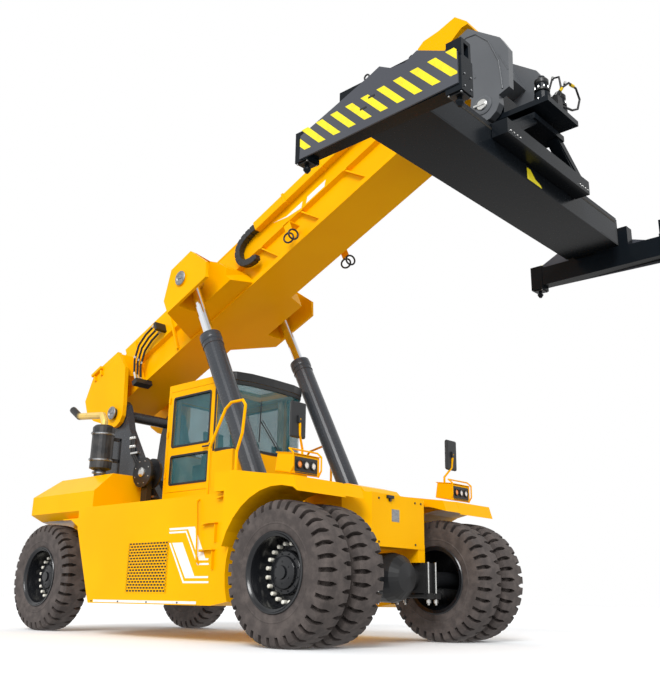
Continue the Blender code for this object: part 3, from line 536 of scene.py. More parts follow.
TYRES = {f"front_tyre_{word}_{place}": f"front_wheel_{word}"
         for word in ("right", "left") for place in ("outer", "inner")}
TYRES.update({f"rear_tyre_{word}": f"rear_wheel_{word}" for word in ("right", "left")})
pattern = lugged_tyre((0, 0, 0))
for node, body in TYRES.items():
    low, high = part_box(node)
    fresh = copied(pattern, (low + high) / 2)
    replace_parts(tidy_up(node + "_lugged", fresh, rubber, body), node)
bpy.data.objects.remove(pattern)


# ---- wheel discs and nuts ----
# Each wheel is a heavy pressed disc in a rim with a lock ring, painted gloss black. Twenty capped nuts
# hold it to the hub, whose cover has its own ring of small bolts.
NUTS = 20
NUT_RING = 0.352
RIM_SECTION = [(0.44, 0.17), (0.446, 0.215), (0.47, 0.225), (0.488, 0.232), (0.494, 0.245), (0.486, 0.255),
               (0.470, 0.252), (0.452, 0.232), (0.432, 0.222), (0.424, 0.20), (0.428, 0.05), (0.412, -0.02),
               (0.395, -0.05), (0.325, -0.055), (0.318, -0.035), (0.275, -0.03), (0.268, 0.03),
               (0.252, 0.045), (0.205, 0.05), (0.198, 0.085), (0.185, 0.095), (0.085, 0.10), (0.078, 0.125),
               (0, 0.128), (0, -0.09), (0.42, -0.10), (0.438, -0.08)]
INNER_RIM = [(0.440, -0.10), (0.440, -0.83), (0.485, -0.845), (0.494, -0.862), (0.480, -0.872),
             (0.43, -0.86), (0.42, -0.80), (0.42, -0.10)]

wheel_black = gloss_paint("black_wheel_enamel", (0.008, 0.009, 0.011), (0.018, 0.018, 0.020), 0, 0.22, 0.5)
nut_caps = mottled("nut_caps", 30, 3, (0.4, 0.7), (0.95, 0.93, 0.84), (0.70, 0.66, 0.55), Coat_Weight=0.4,
                   Roughness=0.34)


def bolt_ring(centre, side, count, ring, radius, length, sides):
    """A ring of bolt heads round a wheel's axis, standing out by length."""
    heads = []
    for k in range(count):
        angle = 2 * math.pi * (k + 0.5) / count
        foot = Vector(centre) + Vector((ring * math.cos(angle), 0, ring * math.sin(angle)))
        heads.append(bolt(foot, (0, side * length, 0), radius, radius * 0.3, sides))
    return heads


for side, word in SIDES:
    for axle in ("front", "rear"):
        tyre = f"front_tyre_{word}_outer" if axle == "front" else f"rear_tyre_{word}"
        middle = sum(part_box(tyre), Vector()) / 2
        wheel = f"{axle}_wheel_{word}"
        shapes = [spun([(radius, side * along) for radius, along in RIM_SECTION], middle, 64)]
        if axle == "front":
            shapes.append(spun([(radius, side * along) for radius, along in INNER_RIM], middle, 64))
        disc = welded(shapes)
        bpy.ops.object.shade_smooth_by_angle(angle=math.radians(35))
        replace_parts(tidy_up(f"{axle}_disc_{word}", disc, wheel_black, wheel), f"{axle}_rim_{word}")
        seat = middle + Vector((0, side * -0.055, 0))
        nuts = welded(bolt_ring(seat, side, NUTS, NUT_RING, 0.026, 0.075, 12))
        tidy_up(f"{axle}_nuts_{word}", nuts, nut_caps, wheel)
        hub_bolts = bolt_ring(middle + Vector((0, side * 0.048, 0)), side, 12, 0.228, 0.011, 0.016, 6)
        hub_bolts += bolt_ring(middle + Vector((0, side * 0.096, 0)), side, 6, 0.13, 0.010, 0.012, 6)
        tidy_up(f"{axle}_hub_bolts_{word}", hub_bolts, wheel_black, wheel)


# ---- boom tower and its pivot pin ----
# Two flame-cut plates on a box foot carry the boom, in dark slate enamel. The pin between them is held at
# each end by a turned steel plate with six screws, and three black hose lines climb the front edge.
slate_paint = gloss_paint("slate_enamel", (0.040, 0.045, 0.053), (0.030, 0.034, 0.041), 0, 0.27, 0.35)
dress("boom_tower", slate_paint)
grey_steel = plated("turned_steel", (0.36, 0.37, 0.38), 0.34)


def pin_cap(name, centre, side, radius, body):
    """A turned end plate on a pin, with a ring of screws and a flat keeper across it."""
    profile = [(0, -0.004), (radius, -0.004), (radius, 0.010), (radius - 0.012, 0.018), (radius * 0.60, 0.018),
               (radius * 0.54, 0.010), (0, 0.010)]
    shapes = [spun([(out, side * along) for out, along in profile], centre, 40)]
    shapes += bolt_ring(centre + Vector((0, side * 0.016, 0)), side, 6, radius * 0.80, 0.011, 0.010, 6)
    shapes.append(block(centre + Vector((-radius * 0.48, side * 0.008, -0.014)),
                        centre + Vector((radius * 0.48, side * 0.020, 0.014)), 0.003))
    tidy_up(name, welded(shapes), grey_steel, body)


for side, word in SIDES:
    pin_cap(f"pivot_cap_{word}", here(-5.95, side * 0.86, 3.88), side, 0.125, "chassis")
line_pieces, union_pieces = [], []
y = -0.735
for number in range(3):
    step = 0.055 * number
    route = places((-5.44 + step, y, 3.42), (-5.40 + step, y, 3.08), (-5.02 + step, y, 2.62),
                   (-4.80 + step, y, 2.02))
    line_pieces += bent_bar(route, 0.017)
    for place in (here(-5.435 + step, y, 3.38), here(-5.42 + step, y, 3.22), here(-4.815 + step, y, 2.06)):
        union_pieces.append(bolt(place, (0.004, 0, -0.05), 0.026, 0.004))
for x, z in ((-5.33, 3.05), (-4.93, 2.50), (-4.75, 2.22)):
    union_pieces.append(lump((x - 0.05, -0.76, z), (x + 0.17, -0.70, z + 0.035), 0.004))


def moulded(name, colour, roughness, patches, detail, grain, depth, strength=0.3):
    """Black rubber or plastic as it leaves its mould: an uneven sheen over a fine grain."""
    made = Finish(name, Base_Color=colour)
    point = made.place()[0]
    made.set(Roughness=roughness + made.noise(point, patches, detail) * 0.2)
    made.bump(made.noise(point, grain, 2), depth, strength)
    return made


black_hose = moulded("black_hose_rubber", (0.012, 0.012, 0.013), 0.42, 30, 4, 260, 0.001)
tidy_up("tower_lines", line_pieces, black_hose, "chassis")
tidy_up("tower_unions", union_pieces, bright_steel, "chassis")


# ---- silencer ----
# A rolled steel silencer stands beside the tower, held by band clamps. Its bent tail pipe is yellow
# where the heat has not reached, and sooty at its end.
silencer = Finish("silencer_steel", Metallic=0.35)
point, x, y, z = silencer.place()
streaks = silencer.noise(point, 5, 5, 0.6).between(0.35, 0.7)
can = silencer.blend(streaks, (0.026, 0.028, 0.031), (0.060, 0.058, 0.056))
pipe = silencer.blend(streaks, (0.86, 0.60, 0.16), (0.70, 0.50, 0.16))
tone = silencer.blend(z > 3.475, can, pipe)
soot = (AXLE_X - x).between(6.02, 6.16)
silencer.set(Base_Color=silencer.blend(soot, tone, (0.03, 0.028, 0.027)), Roughness=0.34 + streaks * 0.18)
dress("muffler", silencer)


def hooped(centre, radius, height, thick, steps=40):
    """A band round an upright axis."""
    ring = [(radius, 0), (radius + thick, 0.2 * height), (radius + thick, 0.8 * height), (radius, height)]
    return spun(ring, centre, steps, (0, 0, 1))


bands = []
for z in (2.60, 2.82, 3.28):
    middle = here(-5.28, -1.42, z)
    radius = 0.10 if z < 2.65 else 0.19
    bands.append(hooped(middle, radius, 0.04, 0.010))
    bands.append(block(middle + Vector((-0.02, -radius - 0.045, 0)), middle + Vector((0.02, -radius, 0.04))))
    screw = middle + Vector((0, -radius - 0.025, 0.02))
    bands.append(bar(screw - Vector((0.045, 0, 0)), screw + Vector((0.045, 0, 0)), 0.009, 8))
tidy_up("silencer_clamps", bands, grey_steel, "chassis")
guard = [lump((-5.30, -1.25, 2.84), (-5.24, -1.06, 2.90), 0.006),
         lump((-5.30, -1.25, 3.22), (-5.24, -1.06, 3.28), 0.006),
         lump((-5.30, -1.10, 2.56), (-5.24, -1.05, 3.28), 0.006)]
tidy_up("silencer_stand", guard, slate_paint, "chassis")


# ---- hose reel and engine ----
# The reel's pressed flanges are black, with a bright hub and bolts. The engine is one cast block below the
# deck, rough and oily.
black_trim = gloss_paint("black_trim_enamel", (0.010, 0.011, 0.012), (0.020, 0.020, 0.022), 0, 0.36, 0.4)
dress("hose_reel", black_trim)
reel_centre = here(-4.43, -1.14, 2.60)
hub = bolt_ring(reel_centre, -1, 8, 0.20, 0.011, 0.012, 6) + bolt_ring(reel_centre, -1, 6, 0.06, 0.012, 0.02, 6)
hub.append(spun([(0, 0), (0.085, 0), (0.08, -0.02), (0.04, -0.035), (0, -0.035)], reel_centre, 24))
tidy_up("reel_hub", hub, bright_steel, "chassis")
cast_iron = Finish("engine_cast_iron", Roughness=0.62, Metallic=0.3)
iron_point = cast_iron.place()[0]
iron_grain = cast_iron.noise(iron_point, 14, 6, 0.6)
cast_iron.set(Base_Color=cast_iron.blend(iron_grain.between(0.35, 0.7), (0.09, 0.09, 0.092), (0.04, 0.034, 0.028)))
cast_iron.bump(iron_grain, 0.004, 0.4)
dress("engine", cast_iron)


# ---- cab shell, glass and seals ----
# Folded sheet steel, sprayed yellow like the boom. Each pane is blue-green toughened glass held in a black
# rubber seal, and a moulded black rim runs round the roof above the wrap-round windscreen.
for node in ("cab_base", "cab_rear_wall", "cab_left_wall", "cab_right_wall", "cab_roof", "cab_door",
             "handrail_right", "handrail_left"):
    dress(node, yellow_high)

glass = mottled("tinted_cab_glass", 2.5, 3, (0.3, 0.7), (0.020, 0.125, 0.155), (0.045, 0.190, 0.225),
                Roughness=0.03, IOR=1.45, Alpha=0.40)
for node in ("windscreen", "cab_rear_glass", "cab_left_glass", "cab_roof_glass", "door_glass_upper",
             "door_glass_lower"):
    dress(node, glass)

seal_rubber = moulded("seal_rubber", (0.010, 0.011, 0.012), 0.5, 40, 3, 300, 0.0006, 0.25)


def rounded_frame(low, high, place, push, width=0.035, corner=0.05):
    """A frame with round corners between two corners of an opening; place turns its (a, b) into a point."""
    outline = []
    centres = [(high[0], high[1], 0), (low[0], high[1], 90), (low[0], low[1], 180), (high[0], low[1], 270)]
    for a, b, start in centres:
        inner_a = a - math.copysign(corner, a - (low[0] + high[0]) / 2)
        inner_b = b - math.copysign(corner, b - (low[1] + high[1]) / 2)
        for step in range(5):
            angle = math.radians(start + 22.5 * step)
            outline.append((inner_a + corner * math.cos(angle), inner_b + corner * math.sin(angle)))
    made = primitive("circle", vertices=len(outline), fill_type="NGON", location=(0, 0, 0))
    for vertex, (a, b) in zip(made.data.vertices, outline):
        vertex.co = place(a, b)
    bpy.ops.object.mode_set(mode="EDIT")
    bpy.ops.mesh.select_all(action="SELECT")
    bpy.ops.mesh.inset(thickness=width, use_even_offset=True)
    bpy.ops.mesh.delete(type="FACE")
    bpy.ops.mesh.select_all(action="SELECT")
    bpy.ops.mesh.extrude_region_move(TRANSFORM_OT_translate={"value": push})
    return rounded(closed_up(made), 0.003)


def on_side(y):
    return lambda a, b: here(a, y, b)


door_seals = [rounded_frame((-4.05, z0), (-3.04, z1), on_side(-0.850), (0, -0.010, 0))
              for z0, z1 in ((3.005, 3.895), (2.365, 2.875))]
door_seals += [rounded_frame((-4.05, z0), (-3.04, z1), on_side(-0.799), (0, 0.008, 0))
               for z0, z1 in ((3.005, 3.895), (2.365, 2.875))]
tidy_up("door_seals", door_seals, seal_rubber, "door")
cab_seals = [rounded_frame((-4.035, 2.535), (-3.055, 3.895), on_side(0.850), (0, 0.010, 0)),
             rounded_frame((-0.635, 2.935), (0.635, 3.865), lambda a, b: here(-4.20, a, b), (-0.010, 0, 0)),
             rounded_frame((-3.465, -0.635), (-2.635, 0.635), lambda a, b: here(a, b, 4.12), (0, 0, 0.008))]
WINDSCREEN_PLAN = [(-2.8897, -0.845), (-2.66, -0.835), (-2.55, -0.74), (-2.475, -0.48), (-2.452, 0.0),
                   (-2.475, 0.48), (-2.55, 0.74), (-2.66, 0.835), (-2.9497, 0.845)]
inner_plan = [(x - 0.035, y * 0.965) for x, y in reversed(WINDSCREEN_PLAN)]
outer_plan = [(x + (0.012 if x > -2.8 else 0), y * 1.014) for x, y in WINDSCREEN_PLAN]
for low_z, high_z in ((2.835, 2.885), (3.93, 3.998)):
    ring = [here(x, y, low_z) for x, y in outer_plan + inner_plan]
    cab_seals.append(slab(ring, (0, 0, high_z - low_z), 0.004))
for y in (-0.857, 0.845):
    cab_seals.append(lump((-2.945, y, 2.85), (-2.900, y + 0.012, 3.99), 0.004))
tidy_up("cab_seals", cab_seals, seal_rubber, "chassis")

rim_plan = [(-2.95, -0.864), (-2.655, -0.864), (-2.535, -0.765), (-2.457, -0.495), (-2.438, 0),
            (-2.457, 0.495), (-2.535, 0.765), (-2.655, 0.864), (-2.95, 0.864)]
rim_inside = [(x - 0.05, y * 0.94) for x, y in reversed(rim_plan)]
rim = [here(x, y, 4.0) for x, y in rim_plan + [(x - 0.010, y * 0.988) for x, y in reversed(rim_plan)]]
visor = slab([here(x, y, 4.121) for x, y in rim_plan + rim_inside], (0, 0, 0.018), 0.006)
brow = slab(rim, (0, 0, 0.123), 0.003)
tidy_up("roof_rim", [visor, brow], black_trim, "chassis")

panel_cream = mottled("cream_panel", 4, 3, (0.3, 0.7), (0.70, 0.66, 0.50), (0.60, 0.56, 0.42), Roughness=0.6)
panel_cream.bump(panel_cream.noise(panel_cream.place()[0], 350, 2), 0.0006, 0.3)
lining = [lump((-4.138, -0.78, 2.26), (-4.120, 0.78, 2.92), 0.005),
          lump((-4.138, -0.78, 2.92), (-4.120, -0.64, 3.98), 0.005),
          lump((-4.138, 0.64, 2.92), (-4.120, 0.78, 3.98), 0.005),
          lump((-4.138, -0.64, 3.87), (-4.120, 0.64, 3.98), 0.005),
          lump((-4.10, 0.765, 2.26), (-2.60, 0.788, 2.52), 0.005),
          lump((-4.10, -0.62, 3.975), (-3.48, 0.62, 3.997), 0.005),
          lump((-4.10, 0.63, 3.975), (-2.60, 0.78, 3.997), 0.005),
          lump((-4.10, -0.78, 3.975), (-2.60, -0.63, 3.997), 0.005),
          lump((-3.06, 0.69, 2.52), (-2.97, 0.785, 3.97), 0.02)]
tidy_up("cab_lining", lining, panel_cream, "chassis")


# ---- door handle, hinges, wiper and instruments ----
# Moulded black fittings: a pull handle on the door, a parallel-arm wiper on the windscreen, and the panel with its
# screen and levers beside the driver. Three pin hinges on the door are yellow like the cab.
plastic = moulded("moulded_black_plastic", (0.014, 0.015, 0.017), 0.38, 50, 3, 400, 0.0005)
handle = [lump((-3.03, -0.868, 2.90), (-2.965, -0.85, 2.99), 0.006),
          lump((-3.16, -0.905, 2.925), (-2.98, -0.885, 2.955), 0.008),
          lump((-3.02, -0.905, 2.93), (-2.99, -0.86, 2.95), 0.004)]
tidy_up("door_handle", handle, plastic, "door")
hinges = []
for z in (2.55, 3.25, 3.85):
    hinges.append(bar(here(-4.150, -0.862, z - 0.05), here(-4.150, -0.862, z + 0.05), 0.012, 12))
    hinges.append(lump((-4.196, -0.858, z - 0.04), (-4.150, -0.850, z + 0.04), 0.002))
tidy_up("door_hinges", hinges, yellow_high, "chassis")
wiper = [bar(here(-2.437, 0.20, 2.87), here(-2.432, -0.28, 3.36), 0.008, 8),
         bar(here(-2.437, 0.26, 2.87), here(-2.432, -0.25, 3.40), 0.006, 8),
         lump((-2.447, 0.16, 2.845), (-2.425, 0.31, 2.885), 0.006),
         bar(here(-2.440, -0.30, 3.02), here(-2.440, -0.28, 3.70), 0.009, 8)]
tidy_up("wiper", wiper, plastic, "chassis")
console = [lump((-3.86, -0.52, 2.26), (-3.30, -0.34, 2.74), 0.02),
           lump((-3.44, -0.50, 2.74), (-3.34, -0.40, 2.77), 0.01),
           bar(here(-3.40, -0.43, 2.74), here(-3.42, -0.43, 2.88), 0.010, 10),
           primitive("uv_sphere", segments=16, ring_count=10, radius=0.026, location=here(-3.42, -0.43, 2.90)),
           lump((-2.78, -0.60, 2.26), (-2.56, 0.60, 2.80), 0.03),
           lump((-2.76, -0.50, 2.78), (-2.60, 0.50, 2.86), 0.02),
           lump((-2.90, 0.42, 2.90), (-2.87, 0.66, 3.10), 0.01),
           bar(here(-2.80, 0.54, 2.82), here(-2.88, 0.54, 2.96), 0.012, 10)]
tidy_up("instrument_panel", console, plastic, "chassis")
dress("steering_column", plastic)


# ---- driver's seat ----
# Two foam pads in dark woven cloth on a black pan, with a suspension box below and an armrest on each
# side. The pads swell between their piped edges.
weave = Finish("seat_cloth", Roughness=0.85, Sheen_Weight=0.3)
weave_point, weave_x, weave_y, weave_z = weave.place()
threads = ((weave_x * 160).part() > 0.5) * ((weave_y * 160).part() > 0.5)
weave.set(Base_Color=weave.blend(weave.noise(weave_point, 6, 4).between(0.35, 0.7) * 0.6 + threads * 0.3,
                                 (0.030, 0.034, 0.040), (0.075, 0.080, 0.088)))
weave.bump(threads, 0.0008, 0.5)


def stuffed(name, shape, cap, body):
    """Fills a closed cover with foam: it swells by up to cap, and keeps its place."""
    deselect()
    shape.select_set(True)
    bpy.context.view_layer.objects.active = shape
    bpy.ops.object.transform_apply(location=True, rotation=True, scale=True)
    skin = shape.modifiers.new("skin", "REMESH")
    skin.voxel_size = 0.006
    bpy.ops.object.modifier_apply(modifier=skin.name)
    before = [vertex.co.copy() for vertex in shape.data.vertices]
    foam = shape.modifiers.new("foam", "CLOTH")
    foam.settings.use_pressure = True
    foam.settings.uniform_pressure_force = 4
    foam.settings.effector_weights.gravity = 0
    for step in range(1, 21):
        bpy.context.scene.frame_set(step)
    bpy.ops.object.modifier_apply(modifier=foam.name)
    bpy.context.scene.frame_set(1)
    for vertex, start in zip(shape.data.vertices, before):
        move = vertex.co - start
        if move.length > cap:
            vertex.co = start + move.normalized() * cap
    bpy.ops.object.shade_smooth()
    made = tidy_up(name, shape, weave, body)
    return made


cushion_core = lump((-3.845, -0.245, 2.645), (-3.375, 0.245, 2.765), 0.035)
cushion = stuffed("seat_cushion", cushion_core, 0.016, "chassis")
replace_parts(cushion, "seat")
back_core = slab(places((-3.965, -0.225, 2.78), (-3.865, -0.225, 2.78), (-3.93, -0.225, 3.40),
                        (-4.025, -0.225, 3.40)), (0, 0.45, 0), 0.03)
stuffed("seat_back", back_core, 0.014, "chassis")
pan = [lump((-3.86, -0.25, 2.60), (-3.37, 0.25, 2.64), 0.012),
       lump((-3.76, -0.18, 2.26), (-3.44, 0.18, 2.34), 0.01),
       lump((-3.72, -0.15, 2.34), (-3.48, 0.15, 2.60), 0.03)]
for y in (-0.30, 0.27):
    pan.append(lump((-3.80, y, 2.90), (-3.45, y + 0.03, 2.94), 0.012))
    pan.append(lump((-3.90, y, 2.66), (-3.86, y + 0.03, 2.94), 0.008))
tidy_up("seat_pan", pan, plastic, "chassis")


# ---- lamp boxes and mirrors ----
# On each fender a folded yellow box holds three round lamps in a black face, behind a bent guard rail. A
# yellow stalk on it carries a moulded black mirror.
lens_white = mottled("clear_lens", 90, 2, (0.4, 0.7), (0.86, 0.84, 0.80), (0.60, 0.58, 0.55), Roughness=0.12,
                     Coat_Weight=0.6)
lens_orange = mottled("orange_lens", 90, 2, (0.4, 0.7), (0.95, 0.30, 0.02), (0.80, 0.20, 0.01), Roughness=0.15,
                      Coat_Weight=0.6)
mirror_glass = Finish("mirror_glass", Metallic=1.0, Roughness=0.03)
mirror_point = mirror_glass.place()[0]
mirror_glass.set(Base_Color=mirror_glass.blend(mirror_glass.noise(mirror_point, 3), (0.80, 0.82, 0.84),
                                               (0.72, 0.74, 0.76)))


def lamp(centre, radius):
    """A round lens in a rim, facing forward."""
    ring = [(radius, 0), (radius + 0.010, 0.002), (radius + 0.010, 0.020), (radius, 0.024)]
    dome = [(0, 0.016), (radius * 0.6, 0.012), (radius, 0.004), (radius, 0), (0, 0)]
    turned = []
    for profile in (ring, dome):
        made = spun([(out, along) for out, along in profile], (0, 0, 0), 24)
        made.rotation_euler = (0, 0, -math.pi / 2)
        made.location = centre
        turned.append(made)
    return turned


for side, word in SIDES:
    y = side * 1.78
    box_sheet = slab(places((-0.24, y - 0.26, 2.15), (0.07, y - 0.26, 2.095), (0.07, y - 0.26, 2.35),
                            (-0.20, y - 0.26, 2.39)), (0, 0.52, 0), 0.012)
    box_top = slab(places((-0.22, y - 0.27, 2.385), (0.09, y - 0.27, 2.35), (0.09, y - 0.27, 2.36),
                          (-0.22, y - 0.27, 2.398)), (0, 0.54, 0), 0.004)
    rail = bent_bar(places((0.04, y - 0.265, 2.10), (0.095, y - 0.265, 2.18), (0.095, y - 0.265, 2.36),
                           (0.02, y - 0.265, 2.42), (0.02, y + 0.265, 2.42), (0.095, y + 0.265, 2.36),
                           (0.095, y + 0.265, 2.18), (0.04, y + 0.265, 2.10)), 0.012)
    stalk = bent_bar(places((-0.14, y - side * 0.14, 2.36), (-0.14, y - side * 0.14, 2.48),
                            (-0.075, y - side * 0.02, 2.64), (-0.06, y, 2.86)), 0.017)
    post = tidy_up(f"lamp_box_{word}", [box_sheet, box_top] + rail + stalk, yellow_high, "chassis")
    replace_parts(post, f"mirror_post_{word}")
    face_plate = [lump((0.068, y - 0.21, 2.13), (0.078, y + 0.21, 2.32), 0.006),
                  lump((0.07, y - 0.20, 2.112), (0.082, y + 0.20, 2.122), 0.002)]
    lenses = []
    for place, kind in ((-0.13, lens_orange), (0.0, lens_white), (0.13, lens_white)):
        rim, dome = lamp(here(0.076, y + place, 2.225), 0.048)
        face_plate.append(rim)
        lenses.append((dome, kind))
    tidy_up(f"lamp_face_{word}", face_plate, plastic, "chassis")
    tidy_up(f"orange_lamp_{word}", lenses[0][0], lens_orange, "chassis")
    tidy_up(f"white_lamps_{word}", [lenses[1][0], lenses[2][0]], lens_white, "chassis")
    shell = lump((-0.13, y - 0.14, 2.60), (-0.075, y + 0.14, 3.09), 0.026)
    clamp_piece = lump((-0.085, y - 0.03, 2.80), (-0.045, y + 0.03, 2.90), 0.006)
    tidy_up(f"mirror_shell_{word}", [shell, clamp_piece], plastic, "chassis")
    pane = lump((-0.138, y - 0.12, 2.625), (-0.129, y + 0.12, 3.065), 0.003)
    tidy_up(f"mirror_pane_{word}", pane, mirror_glass, "chassis")


# ---- fittings on the front box ----
# Bolt heads, a lifting eye and a blank riveted plate sit on the front box, with the pins that hold the feet
# of the lift cylinders at its sides.
front_bolts = []
for y, z in ((0.38, 1.93), (0.52, 1.93), (-0.45, 1.93), (0.38, 1.34), (-0.45, 1.34)):
    front_bolts.append(bolt(here(0.19, y, z), (0.022, 0, 0), 0.016))
front_bolts.append(lump((0.195, -0.28, 1.94), (0.235, -0.14, 1.985), 0.006))
front_bolts.append(lump((0.20, -0.23, 1.90), (0.225, -0.19, 1.96), 0.004))
tidy_up("front_bolts", front_bolts, black_trim, "chassis")
plate_shapes = [lump((0.199, -0.16, 1.63), (0.203, 0.01, 1.80), 0.001)]
for y in (-0.145, -0.005):
    for z in (1.645, 1.785):
        plate_shapes.append(bar(here(0.201, y, z), here(0.207, y, z), 0.005, 8))
tidy_up("blank_plate", plate_shapes, grey_steel, "chassis")
for side, word in SIDES:
    pin_cap(f"lift_foot_cap_{word}", here(-1.15, side * 1.311, 1.35), side, 0.11, "chassis")
    clamp = [lump((-4.36, side * 1.84, 1.83), (-4.30, side * 1.92, 1.93), 0.01)]
    for x in (-4.1, -3.4, -2.7, -2.0):
        clamp.append(bolt(here(x, side * 2.09, 0.50), (0, side * 0.022, 0), 0.012, 0.002))
    tidy_up(f"sill_bolts_{word}", clamp, black_trim, "chassis")


# ---- boom ----
# The outer boom is a welded box with a sunk channel along each side, stiffened by slanted flats. A square
# duct along its top edge carries the lines from a black energy chain, and steel end plates hold the pins.
BOOM_ANGLE = math.radians(23.4)
BOOM_PLACE = Matrix.Translation(here(-5.95, 0, 3.88)) @ Matrix.Rotation(-BOOM_ANGLE, 4, "Y")
boom_paint = gloss_paint("yellow_boom_paint", YELLOW_TONE, YELLOW_SHADE, 0, 0.34)
for node in ("boom_outer", "boom_inner"):
    dress(node, boom_paint)
dress("boom_hoses", black_hose)


def on_boom(made):
    """Welds shapes that were made along a level boom, and lays them on the raised one."""
    made = welded(made) if isinstance(made, list) else made
    made.matrix_world = BOOM_PLACE @ made.matrix_world
    return made


WEDGES = ([(4.65, 1.16), (4.98, 1.05), (5.38, 1.05), (5.31, 0.955), (4.99, 1.02)],
          [(5.50, 1.05), (5.95, 1.05), (5.88, 0.955), (5.43, 0.955)])
for side, word in SIDES:
    flats = []
    for u in (4.23, 5.26, 6.33, 7.36):
        flats.append(cut_plate([(u, 0.905), (u + 0.035, 0.905), (u + 0.375, 0.44), (u + 0.34, 0.44)], 0.085,
                               side * 0.378, side, 0.004))
        flats.append(cut_plate([(u - 0.03, 0.935), (u + 0.07, 0.935), (u + 0.055, 0.90), (u - 0.015, 0.90)], 0.015,
                               side * 0.462, side, 0.003))
    flats.append(block((2.0, side * 0.464 - 0.006, 1.385), (7.89, side * 0.464 + 0.006, 1.415), 0.003))
    flats.append(block((4.62, side * 0.464 - 0.003, 0.402), (7.89, side * 0.464 + 0.003, 0.43), 0.002))
    flats.append(block((4.34, side * 0.464, 1.20), (7.86, side * 0.60, 1.37), 0.012))
    for u in (5.1, 6.0, 6.9, 7.7):
        flats.append(block((u, side * 0.464, 1.185), (u + 0.05, side * 0.612, 1.385)))
    flats.append(block((5.02, side * 0.46, 0.66), (5.16, side * 0.74, 0.69), 0.006))
    flats.append(block((5.02, side * 0.70, 0.50), (5.16, side * 0.72, 0.70)))
    tidy_up(f"boom_flats_{word}", on_boom(flats), boom_paint, "boom_outer")
    wedge = [cut_plate(outline, 0.0015, side * 0.4645, side) for outline in WEDGES]
    tidy_up(f"boom_wedges_{word}", on_boom(wedge), vinyl, "boom_outer")
    chain = []
    curve = [(4.34, 1.285), (4.22, 1.285), (4.10, 1.28), (3.98, 1.26), (3.88, 1.21), (3.81, 1.13), (3.78, 1.03),
             (3.79, 0.93), (3.84, 0.84), (3.92, 0.78), (4.02, 0.745), (4.12, 0.735)]
    for start, end in zip(curve, curve[1:]):
        heading = math.atan2(end[1] - start[1], end[0] - start[0])
        middle = Vector(((start[0] + end[0]) / 2, side * 0.535, (start[1] + end[1]) / 2))
        for offset, tall, thick in ((0, 0.125, 0.052), (1, 0.095, 0.060)):
            half = 0.06 - 0.004 * offset
            shift = 0.048 * offset
            link = block((shift - thick, -half, -tall / 2), (shift + thick, half, tall / 2), 0.010)
            link.matrix_world = Matrix.Translation(middle) @ Matrix.Rotation(-heading, 4, "Y")
            deselect()
            link.select_set(True)
            bpy.context.view_layer.objects.active = link
            bpy.ops.object.transform_apply(location=True, rotation=True, scale=True)
            chain.append(link)
    tidy_up(f"energy_chain_{word}", on_boom(chain), plastic, "boom_outer")
    rings = []
    for turn_by, shift in ((20, -0.05), (70, 0.06)):
        ring = primitive("torus", major_radius=0.085, minor_radius=0.016, major_segments=28, minor_segments=10,
                         location=(0, 0, 0), rotation=(math.radians(90), 0, math.radians(turn_by)))
        ring.location = BOOM_PLACE @ Vector((5.09 + shift, side * 0.715, 0.44 - abs(shift)))
        bpy.ops.object.shade_smooth()
        rings.append(ring)
    tidy_up(f"lifting_rings_{word}", rings, black_trim, "boom_outer")
    pin_cap(f"rod_pin_cap_{word}", BOOM_PLACE @ Vector((3.05, side * 1.345, 0.82)), side, 0.13, "boom_outer")

tail = [block((-0.44, -0.86, 1.10), (-0.10, -0.70, 1.16), 0.008),
        block((-0.40, -0.84, 0.98), (-0.36, -0.80, 1.12), 0.004),
        block((-0.18, -0.84, 0.98), (-0.14, -0.80, 1.12), 0.004)]
for side in (-1, 1):
    for u in (0.60, 1.70):
        tail.append(block((u, side * 0.46, 0.44), (u + 0.04, side * 0.51, 1.36)))
tidy_up("boom_tail_tabs", on_boom(tail), boom_paint, "boom_outer")
fittings = []
for number in range(3):
    y = -0.55 - 0.06 * number
    lift = 0.05 * number
    fittings.append(bar((0.63, y, 0.40), (0.63, y, 0.47 + lift), 0.030, 6))
    fittings.append(bar((1.38, y, 1.023 + lift), (1.44, y, 1.028 + lift), 0.030, 6))
    fittings.append(bar((0.72, y, 0.745 + lift), (0.75, y, 0.777 + lift), 0.028, 6))
tidy_up("boom_hose_fittings", on_boom(fittings), bright_steel, "boom_outer")


